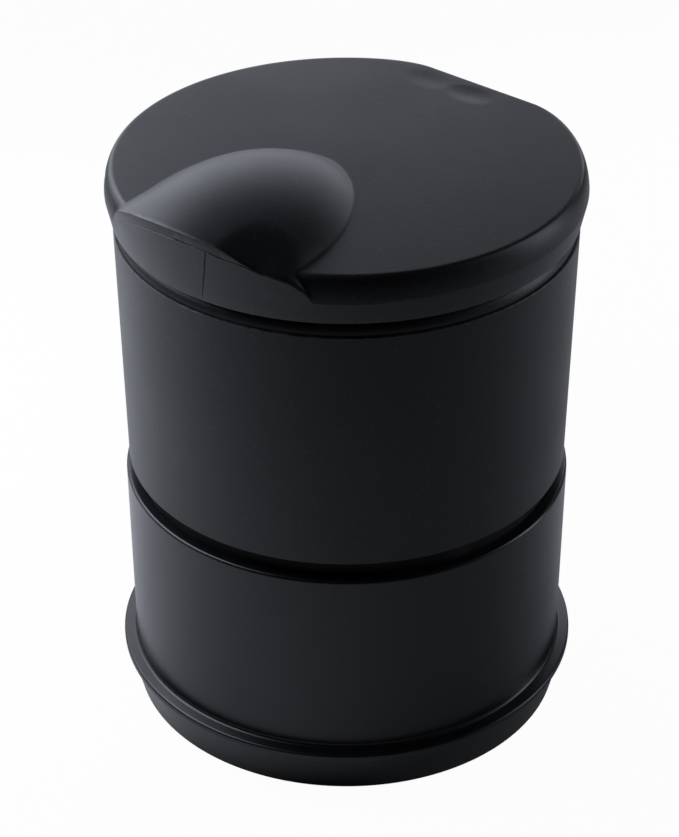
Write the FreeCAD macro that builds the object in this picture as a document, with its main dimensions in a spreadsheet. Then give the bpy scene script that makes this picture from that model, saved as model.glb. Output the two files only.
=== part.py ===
import FreeCAD, Part
import os

import Sketcher

# Cup-holder ashtray: lower cup, ash unit with collar and bowl, hinged lid with a raised thumb lift.
# Millimetres, +Z up, origin at the middle of the foot's underside, thumb lift towards -Y, hinge towards +Y.

DIMENSIONS = [
    # Lower cup, moulded with its flange and foot
    ("cup_radius", 35.6, "wall of the cup at its rim, from which the other radii follow"),
    ("cup_draft", 0.4, "narrowing of the cup from its rim to the flange"),
    ("flange_reach", 2.1, "flange beyond the cup's wall"),
    ("flange_undercut", 0.6, "top of the foot behind the flange's edge"),
    ("foot_taper", 1.7, "narrowing of the foot from the flange to the table"),
    ("foot_ring_width", 3.2, "ring of the foot around the pad"),
    ("flange_height", 8.1, "top edge of the flange above the table"),
    ("flange_thickness", 1.1, "height of the flange's edge"),
    ("flange_rise", 0.35, "rise of the flange's top towards the wall"),
    ("flange_fillet", 0.6, "fillet between flange and wall"),
    ("foot_edge_round", 0.35, "rounding of the flange's edge and of the foot"),
    ("cup_height", 40.75, "rim of the cup above the table"),
    ("cup_wall", 2.6, "thickness of the cup's wall"),
    ("cup_floor", 2.0, "thickness of the cup's floor"),
    ("cup_rim_round", 0.5, "rounding of the cup's rim"),
    ("pad_thickness", 2.0, "thickness of the rubber pad"),
    # Groove between the cup and the upper body
    ("neck_gap", 2.75, "height of the groove"),
    ("ring_width", 1.2, "radial width of the rubber ring"),
    ("ring_seat_depth", 1.0, "depth of the ring's rebate in the cup's rim"),
    ("spigot_gap", 0.6, "radial gap between spigot and cup"),
    ("floor_gap", 0.5, "gap between the spigot's floor and the cup's"),
    # Upper body
    ("body_step", 0.55, "sleeve at the groove behind the cup's rim"),
    ("body_draft", 0.85, "widening of the sleeve from the groove to the collar"),
    ("body_height", 40.5, "height of the sleeve"),
    ("body_wall", 2.0, "thickness of sleeve, shoulder and spigot"),
    ("body_edge_round", 0.35, "rounding of the sleeve's edges"),
    # Collar
    ("collar_recess", 0.4, "collar's band behind the top of the sleeve"),
    ("collar_band", 2.2, "height of the collar's band"),
    ("collar_round", 1.2, "rounding of the band's top edge"),
    ("collar_spigot_depth", 5.0, "depth of the collar's spigot in the sleeve"),
    ("collar_spigot_wall", 1.8, "thickness of that spigot"),
    ("collar_ledge", 1.8, "thickness of the ledge under the bowl's rim"),
    ("fit_gap", 0.1, "radial gap of fixed pieces that slip into each other"),
    # Ash bowl, its seal and the cigarette rest
    ("bowl_draft", 0.8, "widening of the bowl from its foot to its mouth"),
    ("bowl_rim_width", 1.6, "width of the bowl's rim"),
    ("bowl_wall", 0.6, "thickness of the bowl's steel"),
    ("bowl_gap", 1.2, "gap between the bowl and the spigot around it"),
    ("bowl_seat_depth", 1.5, "depth of the rim's seat below the collar's top"),
    ("bowl_corner_round", 4.0, "rounding between the bowl's wall and floor"),
    ("seal_proud", 0.25, "height of the seal above the collar"),
    ("rest_width", 15.0, "width of the cigarette rest"),
    ("rest_reach", 10.0, "reach of the rest's shelf from the bowl's wall"),
    ("rest_leg", 14.0, "length of the rest's leg on the wall"),
    ("rest_drop", 3.0, "depth of the shelf below the bowl's rim"),
    ("rest_sheet", 0.8, "thickness of the rest's steel"),
    ("rest_notch_radius", 4.5, "half width of the notch for a cigarette"),
    # Lid
    ("lid_gap", 0.3, "gap between collar and lid"),
    ("lid_overhang", 0.25, "foot of the lid's skirt beyond the top of the sleeve"),
    ("skirt_flare", 0.85, "lid's edge beyond the foot of its skirt"),
    ("crown_inset", 0.7, "corner of the shoulder and the flat top, inside the lid's edge"),
    ("skirt_height", 3.9, "height of the skirt"),
    ("crown_height", 3.9, "height of the shoulder above the rim"),
    ("lid_wall", 2.0, "thickness of the lid"),
    ("crown_round", 1.1, "rounding of the flat top's edge"),
    ("chord_inset", 3.4, "straight back of the lid, also the hinge axis, inside the lid's edge"),
    ("sink_radius_x", 5.2, "half length of the sink marks over the knuckles"),
    ("sink_radius_y", 2.6, "half width of the sink marks"),
    ("sink_depth", 0.6, "depth of the sink marks"),
    ("sink_inset", 3.1, "sink marks in front of the back edge"),
    # Thumb lift: a dome that rises out of the flat top and is cut off by the skirt's taper in front
    ("lift_place", 26.0, "middle of the dome in front of the lid's middle"),
    ("lift_sink", 5.2, "middle of the dome below the flat top"),
    ("lift_half_width", 20.2, "half the dome's width"),
    ("lift_half_length", 27.7, "half the dome's length"),
    ("lift_half_height", 10.4, "half the dome's height"),
    ("lift_rise", 6.0, "room above the flat top in which the lift is cut"),
    # Liner and its screws
    ("liner_sheet", 0.6, "thickness of the liner's steel"),
    ("liner_edge_gap", 0.3, "gap between the liner's edge and the seal"),
    ("boss_height", 1.6, "bosses below the lid's inside"),
    ("boss_radius", 2.6, "radius of the bosses"),
    ("screw_inset", 5.4, "screws inside the liner's rim, across"),
    ("screw_spacing", 18.4, "screws, front to back"),
    ("screw_radius", 0.9, "radius of the screws' shank"),
    ("screw_head_radius", 1.8, "radius of the screws' head"),
    ("screw_head_height", 1.2, "height of the screws' head"),
    ("screw_bite", 2.4, "length of thread in the boss"),
    ("screw_slot_width", 0.5, "width of the slot in the head"),
    ("screw_slot_depth", 0.6, "depth of that slot"),
    # Hinge
    ("pin_radius", 0.9, "radius of the hinge pin"),
    ("pin_press", 0.01, "radial gap of the pin in the ears"),
    ("pin_run", 0.05, "radial gap of the pin in the knuckles"),
    ("knuckle_radius", 2.2, "outside of ears and knuckles"),
    ("run_gap", 0.4, "gap between pieces that turn past each other"),
    ("ear_outer", 14.0, "outer faces of the ears from the middle"),
    ("ear_width", 3.6, "width of an ear"),
    ("ear_foot_height", 1.6, "height of the ears' foot on the collar's band"),
    ("knuckle_width", 7.0, "width of a knuckle"),
    ("knuckle_space", 1.5, "space between the two knuckles"),
    # Closing spring
    ("wire_radius", 0.35, "radius of the spring's wire"),
    ("coil_radius", 1.75, "radius of the coil at the wire's middle"),
    ("coil_pitch", 0.85, "advance of one turn"),
    ("coil_turns", 3.5, "turns from the collar's leg to the lid's leg"),
    ("spring_leg", 3.2, "length of the spring's legs"),
    ("spring_pad_gap", 0.1, "gap between the spring's leg and the lid's pad"),
]

# Heights above the table and shared radii, worked out from the driving dimensions
CUP_FLOOR = "(dims.pad_thickness + dims.cup_floor)"
RING_SEAT = "(dims.cup_height - dims.ring_seat_depth)"
BODY_BOTTOM = "(dims.cup_height + dims.neck_gap)"
BODY_TOP = f"({BODY_BOTTOM} + dims.body_height)"
COLLAR_TOP = f"({BODY_TOP} + dims.collar_band)"
LID_BOTTOM = f"({COLLAR_TOP} + dims.lid_gap)"
LID_RIM = f"({LID_BOTTOM} + dims.skirt_height)"
LID_FLAT = f"({LID_RIM} + dims.crown_height)"
LID_INSIDE = f"({LID_FLAT} - dims.lid_wall)"
LINER_TOP = f"({LID_INSIDE} - dims.boss_height)"
CUP_LOW = "(dims.cup_radius - dims.cup_draft)"
FLANGE = f"({CUP_LOW} + dims.flange_reach)"
FOOT_TOP = f"({FLANGE} - dims.flange_undercut)"
FOOT = f"({FOOT_TOP} - dims.foot_taper)"
NECK_RADIUS = "(dims.cup_radius - dims.cup_wall - dims.spigot_gap)"
SPIGOT_RADIUS = f"({CUP_LOW} - dims.cup_wall - dims.spigot_gap)"
SPIGOT_BOTTOM = f"({CUP_FLOOR} + dims.floor_gap)"
SPIGOT_FLOOR = f"({SPIGOT_BOTTOM} + dims.body_wall)"
RING_RADIUS = f"({NECK_RADIUS} + dims.ring_width)"
SLEEVE_LOW = "(dims.cup_radius - dims.body_step)"
SLEEVE_TOP = f"({SLEEVE_LOW} + dims.body_draft)"
COLLAR = f"({SLEEVE_TOP} - dims.collar_recess)"
COLLAR_SPIGOT = f"({SLEEVE_TOP} - dims.body_wall - dims.fit_gap)"
COLLAR_SPIGOT_LOW = f"({COLLAR_SPIGOT} - dims.body_draft * dims.collar_spigot_depth / dims.body_height)"
BOWL_SEAT = f"({COLLAR_TOP} - dims.bowl_seat_depth)"
BOWL_BOTTOM = f"({SPIGOT_FLOOR} + dims.bowl_gap)"
BOWL_FOOT = f"({SPIGOT_RADIUS} - dims.body_wall - dims.bowl_gap)"
BOWL_MOUTH = f"({BOWL_FOOT} + dims.bowl_draft)"
BOWL_RIM = f"({BOWL_MOUTH} + dims.bowl_rim_width)"
BOWL_LEAN = f"(dims.bowl_draft / ({BOWL_SEAT} - {BOWL_BOTTOM}))"
SEAL_TOP = f"({COLLAR_TOP} + dims.seal_proud)"
LID_FOOT = f"({SLEEVE_TOP} + dims.lid_overhang)"
LID_EDGE = f"({LID_FOOT} + dims.skirt_flare)"
LID_CROWN = f"({LID_EDGE} - dims.crown_inset)"
LINER = f"({BOWL_MOUTH} + dims.bowl_rim_width / 2)"
HINGE_Y = f"({LID_EDGE} - dims.chord_inset)"
HINGE_Z = f"({COLLAR_TOP} + dims.knuckle_radius + dims.run_gap)"
POCKET_RADIUS = "(dims.knuckle_radius + dims.run_gap)"
EAR_INNER = "(dims.ear_outer - dims.ear_width)"
POCKET_HALF = "(dims.ear_outer + dims.run_gap)"
FIRST_KNUCKLE = f"(dims.run_gap - {EAR_INNER})"
SECOND_KNUCKLE = f"({FIRST_KNUCKLE} + dims.knuckle_width + dims.knuckle_space)"
SPRING_START = f"({SECOND_KNUCKLE} + dims.knuckle_width + dims.run_gap + dims.wire_radius)"
SKIRT_LEAN = "(dims.skirt_flare / dims.skirt_height)"
LIFT_TOP = f"({LID_FLAT} + dims.lift_rise)"
LIFT_TOP_RADIUS = f"({LID_EDGE} + {SKIRT_LEAN} * (dims.crown_height + dims.lift_rise))"
LIFT_CENTRE_Z = f"({LID_FLAT} - dims.lift_sink)"

doc = FreeCAD.newDocument("car_ashtray")
dims = doc.addObject("Spreadsheet::Sheet", "dims")


def fill_sheet():
    """Writes each driving dimension to the sheet: name, value with its alias, meaning."""
    for row, (alias, value, meaning) in enumerate(DIMENSIONS, start=1):
        dims.set(f"A{row}", alias)
        dims.set(f"B{row}", str(value))
        dims.setAlias(f"B{row}", alias)
        dims.set(f"C{row}", meaning)
    doc.recompute()


def size(expression):
    """Gives the value of an expression of the sheet in millimetres."""
    result = dims.evalExpression(expression)
    return float(getattr(result, "Value", result))


def bind(item, **expressions):
    """Binds properties of an object to expressions of the sheet."""
    for name, expression in expressions.items():
        item.setExpression(name, expression)
    return item


def place(item, x="0", y="0", z="0", axis=None, angle=0):
    """Binds the place of an object, after turning it about an axis."""
    if axis is not None:
        item.Placement = FreeCAD.Placement(FreeCAD.Vector(), FreeCAD.Rotation(axis, angle))
    for name, expression in (("x", x), ("y", y), ("z", z)):
        if expression != "0":
            item.setExpression(f".Placement.Base.{name}", expression)
    return item


Y_AXIS = FreeCAD.Vector(0, 1, 0)
Z_AXIS = FreeCAD.Vector(0, 0, 1)
QUARTER_TURN = 90
FULL_TURN = 360
SAME_PLACE = 1e-4


def box(name, x, y, z, length, width, height):
    """Makes a block from its low corner and its sizes."""
    item = doc.addObject("Part::Box", name)
    bind(item, Length=length, Width=width, Height=height)
    return place(item, x, y, z)


def rod(name, radius, length, x="0", y="0", z="0", along_x=False):
    """Makes a cylinder from the middle of its low end, along +Z or +X."""
    item = doc.addObject("Part::Cylinder", name)
    bind(item, Radius=radius, Height=length)
    if along_x:
        return place(item, x, y, z, Y_AXIS, QUARTER_TURN)
    return place(item, x, y, z)


def cone(name, low_radius, high_radius, height, z):
    """Makes a round taper on the Z axis."""
    item = doc.addObject("Part::Cone", name)
    bind(item, Radius1=low_radius, Radius2=high_radius, Height=height)
    return place(item, z=z)


def cut(name, base, tool):
    """Takes one shape out of another."""
    item = doc.addObject("Part::Cut", name)
    item.Base = base
    item.Tool = tool
    return item


def fuse(name, *shapes):
    """Joins shapes into one solid."""
    item = doc.addObject("Part::MultiFuse", name)
    item.Shapes = list(shapes)
    item.Refine = True
    return item


def common(name, *shapes):
    """Keeps what all shapes share."""
    item = doc.addObject("Part::MultiCommon", name)
    item.Shapes = list(shapes)
    return item


def turned_body(name, points):
    """Turns a closed outline of (radius, height) expressions about the Z axis into a body."""
    body = doc.addObject("PartDesign::Body", name)
    plane = next(item for item in body.Origin.OriginFeatures if item.Role == "XZ_Plane")
    sketch = body.newObject("Sketcher::SketchObject", f"{name}_outline")
    sketch.AttachmentSupport = [(plane, "")]
    sketch.MapMode = "FlatFace"
    corners = [FreeCAD.Vector(size(radius), size(height), 0) for radius, height in points]
    count = len(points)
    for index in range(count):
        sketch.addGeometry(Part.LineSegment(corners[index], corners[(index + 1) % count]))
    for index in range(count):
        sketch.addConstraint(Sketcher.Constraint("Coincident", index, 2, (index + 1) % count, 1))
    for index, (radius, height) in enumerate(points):
        hold_point(sketch, index, "DistanceX", radius, -2, corners[index].x)
        hold_point(sketch, index, "DistanceY", height, -1, corners[index].y)
    turn = body.newObject("PartDesign::Revolution", f"{name}_turn")
    turn.Profile = sketch
    turn.ReferenceAxis = (sketch, ["V_Axis"])
    turn.Angle = FULL_TURN
    doc.recompute()
    return body


def hold_point(sketch, line, kind, expression, axis, value):
    """Holds a line's first point on an axis, or at a distance from the origin."""
    if expression == "0":
        sketch.addConstraint(Sketcher.Constraint("PointOnObject", line, 1, axis))
        return
    index = sketch.addConstraint(Sketcher.Constraint(kind, -1, 1, line, 1, value))
    sketch.setExpression(f"Constraints[{index}]", expression)


def round_rings(body, name, radius, *rings):
    """Rounds the round edges of a turned body that lie at the given (radius, height) pairs."""
    base = body.Tip
    wanted = [(size(ring_radius), size(height)) for ring_radius, height in rings]
    edges = []
    for index, edge in enumerate(base.Shape.Edges, start=1):
        if not isinstance(edge.Curve, Part.Circle):
            continue
        for ring_radius, height in wanted:
            off = max(abs(edge.Curve.Radius - ring_radius), abs(edge.Curve.Center.z - height))
            if off < SAME_PLACE:
                edges.append(f"Edge{index}")
    if len(edges) != len(rings):
        raise ValueError(f"{name}: {len(edges)} of {len(rings)} edges found")
    fillet = body.newObject("PartDesign::Fillet", name)
    fillet.Base = (base, edges)
    bind(fillet, Radius=radius)
    doc.recompute()


def build_lower_cup():
    """Cup with flange and foot, a recess for the pad below and a rebate for the ring in its rim."""
    recess = f"({FOOT} - dims.foot_ring_width)"
    flange_low = "(dims.flange_height - dims.flange_thickness)"
    flange_wall = "(dims.flange_height + dims.flange_rise)"
    rebate = f"({RING_RADIUS} + dims.fit_gap)"
    body = turned_body("lower_cup", [
        ("0", "dims.pad_thickness"),
        (recess, "dims.pad_thickness"),
        (recess, "0"),
        (FOOT, "0"),
        (FOOT_TOP, flange_low),
        (FLANGE, flange_low),
        (FLANGE, "dims.flange_height"),
        (CUP_LOW, flange_wall),
        ("dims.cup_radius", "dims.cup_height"),
        (rebate, "dims.cup_height"),
        (rebate, RING_SEAT),
        ("(dims.cup_radius - dims.cup_wall)", RING_SEAT),
        (f"({CUP_LOW} - dims.cup_wall)", CUP_FLOOR),
        ("0", CUP_FLOOR),
    ])
    round_rings(body, "lower_cup_flange_fillet", "dims.flange_fillet", (CUP_LOW, flange_wall))
    round_rings(body, "lower_cup_rim", "dims.cup_rim_round", ("dims.cup_radius", "dims.cup_height"))
    round_rings(body, "lower_cup_bead", "dims.foot_edge_round", (FLANGE, "dims.flange_height"),
                (FLANGE, flange_low), (FOOT, "0"))
    return body


def build_base_pad():
    """Rubber pad that fills the recess under the foot."""
    pad_radius = f"{FOOT} - dims.foot_ring_width - dims.fit_gap"
    body = doc.addObject("PartDesign::Body", "base_pad")
    plane = next(item for item in body.Origin.OriginFeatures if item.Role == "XY_Plane")
    sketch = body.newObject("Sketcher::SketchObject", "base_pad_outline")
    sketch.AttachmentSupport = [(plane, "")]
    sketch.MapMode = "FlatFace"
    sketch.addGeometry(Part.Circle(FreeCAD.Vector(), Z_AXIS, size(pad_radius)))
    sketch.addConstraint(Sketcher.Constraint("Coincident", 0, 3, -1, 1))
    index = sketch.addConstraint(Sketcher.Constraint("Radius", 0, size(pad_radius)))
    sketch.setExpression(f"Constraints[{index}]", pad_radius)
    pad = body.newObject("PartDesign::Pad", "base_pad_sheet")
    pad.Profile = sketch
    bind(pad, Length="dims.pad_thickness")
    return body


def build_anti_rattle_ring():
    """Rubber ring on the cup's rim that carries the ash unit."""
    inner = f"({NECK_RADIUS} + dims.fit_gap)"
    return turned_body("anti_rattle_ring", [
        (inner, RING_SEAT),
        (RING_RADIUS, RING_SEAT),
        (RING_RADIUS, BODY_BOTTOM),
        (inner, BODY_BOTTOM),
    ])


def build_upper_body():
    """Tapered sleeve with a shoulder and a closed spigot that stands in the cup."""
    shoulder = f"({BODY_BOTTOM} + dims.body_wall)"
    body = turned_body("upper_body", [
        ("0", SPIGOT_BOTTOM),
        (SPIGOT_RADIUS, SPIGOT_BOTTOM),
        (NECK_RADIUS, BODY_BOTTOM),
        (SLEEVE_LOW, BODY_BOTTOM),
        (SLEEVE_TOP, BODY_TOP),
        (f"({SLEEVE_TOP} - dims.body_wall)", BODY_TOP),
        (f"({SLEEVE_LOW} - dims.body_wall)", shoulder),
        (f"({NECK_RADIUS} - dims.body_wall)", shoulder),
        (f"({SPIGOT_RADIUS} - dims.body_wall)", SPIGOT_FLOOR),
        ("0", SPIGOT_FLOOR),
    ])
    round_rings(body, "upper_body_edges", "dims.body_edge_round", (SLEEVE_LOW, BODY_BOTTOM),
                (SLEEVE_TOP, BODY_TOP))
    return body


def build_collar():
    """Ring in the sleeve's mouth, with a seat for the bowl's rim and two ears for the hinge pin."""
    bore = f"({BOWL_MOUTH} + dims.fit_gap)"
    seat = f"({BOWL_RIM} + dims.fit_gap)"
    ledge_low = f"({BOWL_SEAT} - dims.collar_ledge)"
    spigot_low = f"({BODY_TOP} - dims.collar_spigot_depth)"
    spigot_inner = f"({COLLAR_SPIGOT_LOW} - dims.collar_spigot_wall)"
    ring = turned_body("collar_ring", [
        (bore, ledge_low),
        (spigot_inner, ledge_low),
        (spigot_inner, spigot_low),
        (COLLAR_SPIGOT_LOW, spigot_low),
        (COLLAR_SPIGOT, BODY_TOP),
        (COLLAR, BODY_TOP),
        (COLLAR, COLLAR_TOP),
        (seat, COLLAR_TOP),
        (seat, BOWL_SEAT),
        (bore, BOWL_SEAT),
    ])
    round_rings(ring, "collar_edge", "dims.collar_round", (COLLAR, COLLAR_TOP))
    ears = []
    foot_z = f"{COLLAR_TOP} - dims.ear_foot_height"
    for side, start in (("left", "-dims.ear_outer"), ("right", EAR_INNER)):
        foot = box(f"ear_foot_{side}", start, f"{HINGE_Y} - dims.knuckle_radius", foot_z,
                   "dims.ear_width", "2 * dims.knuckle_radius", f"{HINGE_Z} - ({foot_z})")
        eye = rod(f"ear_eye_{side}", "dims.knuckle_radius", "dims.ear_width", start, HINGE_Y, HINGE_Z, True)
        ears += [foot, eye]
    solid = fuse("collar_solid", ring, *ears)
    hole = rod("ear_hole", "dims.pin_radius + dims.pin_press", "2 * dims.ear_outer", "-dims.ear_outer",
               HINGE_Y, HINGE_Z, True)
    return cut("collar", solid, hole)


def build_ash_bowl():
    """Pressed steel bowl that hangs by its rim on the collar's ledge."""
    rim_top = f"({BOWL_SEAT} + dims.bowl_wall)"
    floor = f"({BOWL_BOTTOM} + dims.bowl_wall)"
    body = turned_body("ash_bowl", [
        ("0", BOWL_BOTTOM),
        (BOWL_FOOT, BOWL_BOTTOM),
        (BOWL_MOUTH, BOWL_SEAT),
        (BOWL_RIM, BOWL_SEAT),
        (BOWL_RIM, rim_top),
        (f"({BOWL_MOUTH} - dims.bowl_wall)", rim_top),
        (f"({BOWL_FOOT} - dims.bowl_wall)", floor),
        ("0", floor),
    ])
    round_rings(body, "ash_bowl_foot", "dims.bowl_corner_round", (BOWL_FOOT, BOWL_BOTTOM))
    round_rings(body, "ash_bowl_inside", "dims.bowl_corner_round - dims.bowl_wall",
                (f"({BOWL_FOOT} - dims.bowl_wall)", floor))
    return body


def build_bowl_seal():
    """Rubber ring on the bowl's rim, which the lid's liner closes onto."""
    low = f"({BOWL_SEAT} + dims.bowl_wall)"
    return turned_body("bowl_seal", [
        (BOWL_MOUTH, low),
        (BOWL_RIM, low),
        (BOWL_RIM, SEAL_TOP),
        (BOWL_MOUTH, SEAL_TOP),
    ])


def build_cigarette_rest():
    """Bent steel rest: a leg that follows the bowl's wall and a shelf with a round notch."""
    shelf_z = f"({BOWL_SEAT} - dims.rest_drop)"
    leg_low = f"({shelf_z} - dims.rest_leg)"
    wall_inside = f"({BOWL_MOUTH} - dims.bowl_wall - dims.fit_gap)"
    high_radius = f"({wall_inside} - {BOWL_LEAN} * ({BOWL_SEAT} - {shelf_z}))"
    low_radius = f"({wall_inside} - {BOWL_LEAN} * ({BOWL_SEAT} - {leg_low}))"
    outside = cone("rest_outside", low_radius, high_radius, "dims.rest_leg", leg_low)
    inside = cone("rest_inside", f"{low_radius} - dims.rest_sheet", f"{high_radius} - dims.rest_sheet",
                  "dims.rest_leg", leg_low)
    skin = cut("rest_skin", outside, inside)
    strip = box("rest_strip", "-dims.rest_width / 2", "0", leg_low, "dims.rest_width", BOWL_MOUTH,
                "dims.rest_leg")
    leg = common("rest_leg_strip", skin, strip)
    disc = cone("rest_disc", f"{high_radius} - {BOWL_LEAN} * dims.rest_sheet", high_radius, "dims.rest_sheet",
                f"{shelf_z} - dims.rest_sheet")
    plate = box("rest_plate", "-dims.rest_width / 2", f"{high_radius} - dims.rest_reach",
                f"{shelf_z} - dims.rest_sheet", "dims.rest_width", "dims.rest_reach", "dims.rest_sheet")
    shelf = common("rest_shelf", disc, plate)
    bracket = fuse("rest_bracket", leg, shelf)
    notch = rod("rest_notch", "dims.rest_notch_radius", "3 * dims.rest_sheet", "0",
                f"{high_radius} - dims.rest_reach", f"{shelf_z} - 2 * dims.rest_sheet")
    return cut("cigarette_rest", bracket, notch)


def build_hinge_pin():
    """Steel pin through both ears and both knuckles."""
    length = "2 * dims.ear_outer"
    return rod("hinge_pin", "dims.pin_radius", length, "-dims.ear_outer", HINGE_Y, HINGE_Z, True)


def build_hinge_spring():
    """Closing spring: a wire that starts under the coil, winds round the pin and ends above it."""
    radius = size("dims.coil_radius")
    pitch = size("dims.coil_pitch")
    turns = size("dims.coil_turns")
    leg = size("dims.spring_leg")
    coil = Part.makeHelix(pitch, pitch * turns, radius).Edges
    coil_wire = Part.Wire(coil)
    first = coil_wire.OrderedEdges[0]
    last = coil_wire.OrderedEdges[-1]
    start = first.valueAt(first.FirstParameter)
    finish = last.valueAt(last.LastParameter)
    start_way = first.tangentAt(first.FirstParameter)
    finish_way = last.tangentAt(last.LastParameter)
    first_leg = Part.LineSegment(start - start_way * leg, start).toShape()
    last_leg = Part.LineSegment(finish, finish + finish_way * leg).toShape()
    path = Part.Wire([first_leg, *coil_wire.OrderedEdges, last_leg])
    section = Part.Wire(Part.Circle(start - start_way * leg, start_way, size("dims.wire_radius")).toShape())
    spring = doc.addObject("Part::Feature", "hinge_spring")
    spring.Shape = path.makePipeShell([section], True, True)
    # The coil's axis turns to +X, which brings its start to the underside and both legs to the front.
    middle = FreeCAD.Vector(size(SPRING_START), size(HINGE_Y), size(HINGE_Z))
    spring.Placement = FreeCAD.Placement(middle, FreeCAD.Rotation(Y_AXIS, QUARTER_TURN))
    return spring


def lift_dome(name, inset):
    """Dome of the thumb lift, set in by a wall."""
    item = doc.addObject("Part::Ellipsoid", name)
    bind(item, Radius1=f"dims.lift_half_height - {inset}", Radius2=f"dims.lift_half_width - {inset}",
         Radius3=f"dims.lift_half_length - {inset}")
    return place(item, "0", "-dims.lift_place", LIFT_CENTRE_Z)


def lift_block(name, inset, low, low_radius):
    """Space of the thumb lift: under its dome and inside the skirt's taper."""
    height = f"{LIFT_TOP} - {low}"
    taper = cone(f"{name}_taper", f"{low_radius} - {inset}", f"{LIFT_TOP_RADIUS} - {inset}", height, low)
    return common(name, taper, lift_dome(f"{name}_dome", inset))


def build_lid():
    """Lid: round shell with a raised thumb lift in front and two knuckles under its straight back edge."""
    blank = turned_body("lid_blank", [
        ("0", LID_BOTTOM),
        (LID_FOOT, LID_BOTTOM),
        (LID_EDGE, LID_RIM),
        (LID_CROWN, LID_FLAT),
        ("0", LID_FLAT),
    ])
    round_rings(blank, "lid_crown", "dims.crown_round", (LID_CROWN, LID_FLAT))
    inside = turned_body("lid_inside", [
        ("0", LID_BOTTOM),
        (f"({LID_FOOT} - dims.lid_wall)", LID_BOTTOM),
        (f"({LID_EDGE} - dims.lid_wall)", LID_RIM),
        (f"({LID_CROWN} - dims.lid_wall)", LID_INSIDE),
        ("0", LID_INSIDE),
    ])
    lift = lift_block("lift", "0", LID_RIM, LID_EDGE)
    hollow = lift_block("lift_hollow", "dims.lid_wall", LID_BOTTOM, LID_FOOT)
    raised = fuse("lid_raised", blank, lift)
    hollowed = cut("lid_hollowed", raised, fuse("lid_hollow", inside, hollow))
    reach = f"2 * {LID_EDGE}"
    trim = box("lid_back_trim", f"-{LID_EDGE}", HINGE_Y, LID_BOTTOM, reach, reach, LIFT_TOP)
    pocket_y = f"({HINGE_Y} - {POCKET_RADIUS})"
    pocket = box("lid_pocket", f"-{POCKET_HALF}", pocket_y, LID_BOTTOM, f"2 * {POCKET_HALF}", reach,
                 f"{HINGE_Z} - {LID_BOTTOM}")
    pocket_round = rod("lid_pocket_round", POCKET_RADIUS, f"2 * {POCKET_HALF}", f"-{POCKET_HALF}", HINGE_Y,
                       HINGE_Z, True)
    opened = cut("lid_opened", hollowed, fuse("lid_room", trim, pocket, pocket_round))
    added = hinge_knuckles() + liner_bosses()
    solid = fuse("lid_solid", opened, *added)
    pin_hole = rod("lid_pin_hole", "dims.pin_radius + dims.pin_run", f"2 * {POCKET_HALF}", f"-{POCKET_HALF}",
                   HINGE_Y, HINGE_Z, True)
    holes = fuse("lid_holes", pin_hole, *screw_holes(), *sink_marks())
    return cut("lid", solid, holes)


def hinge_knuckles():
    """Two knuckles on webs below the lid's back edge, and a pad for the spring's leg."""
    shapes = []
    web_y = f"{HINGE_Y} - dims.knuckle_radius"
    web_top = f"{LID_INSIDE} + dims.lid_wall / 2"
    for name, start in (("first", FIRST_KNUCKLE), ("second", SECOND_KNUCKLE)):
        shapes.append(rod(f"knuckle_{name}", "dims.knuckle_radius", "dims.knuckle_width", start, HINGE_Y,
                          HINGE_Z, True))
        shapes.append(box(f"web_{name}", start, web_y, HINGE_Z, "dims.knuckle_width", "dims.knuckle_radius",
                          f"{web_top} - {HINGE_Z}"))
    leg_top = f"({HINGE_Z} + dims.coil_radius + dims.wire_radius + dims.spring_pad_gap)"
    pad_width = "dims.coil_pitch * dims.coil_turns"
    shapes.append(box("spring_pad", SPRING_START, web_y, leg_top, pad_width, "dims.knuckle_radius",
                      f"{web_top} - {leg_top}"))
    return shapes


CORNERS = [(-1, -1), (1, -1), (1, 1), (-1, 1)]


def screw_place(sign_x, sign_y):
    """Gives a screw's place as expressions, from its corner of the screw pattern."""
    return f"{sign_x} * ({LINER} - dims.screw_inset)", f"{sign_y} * dims.screw_spacing / 2"


def liner_bosses():
    """Bosses that carry the liner."""
    bosses = []
    height = "dims.boss_height + dims.lid_wall / 2"
    for number, corner in enumerate(CORNERS, start=1):
        x, y = screw_place(*corner)
        bosses.append(rod(f"boss_{number}", "dims.boss_radius", height, x, y, LINER_TOP))
    return bosses


def screw_holes():
    """Blind holes in the bosses, as deep as the screws bite and one gap more."""
    holes = []
    radius = "dims.screw_radius + dims.pin_press"
    depth = "dims.screw_bite + dims.fit_gap"
    for number, corner in enumerate(CORNERS, start=1):
        x, y = screw_place(*corner)
        holes.append(rod(f"boss_hole_{number}", radius, depth, x, y, LINER_TOP))
    return holes


def sink_marks():
    """Shallow dips in the flat top, where the moulding shrank over the knuckles."""
    marks = []
    for name, start in (("first", FIRST_KNUCKLE), ("second", SECOND_KNUCKLE)):
        mark = doc.addObject("Part::Ellipsoid", f"sink_{name}")
        bind(mark, Radius1="2 * dims.sink_depth", Radius2="dims.sink_radius_x", Radius3="dims.sink_radius_y")
        place(mark, f"{start} + dims.knuckle_width / 2", f"{HINGE_Y} - dims.sink_inset",
              f"{LID_FLAT} + dims.sink_depth")
        marks.append(mark)
    return marks


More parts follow.
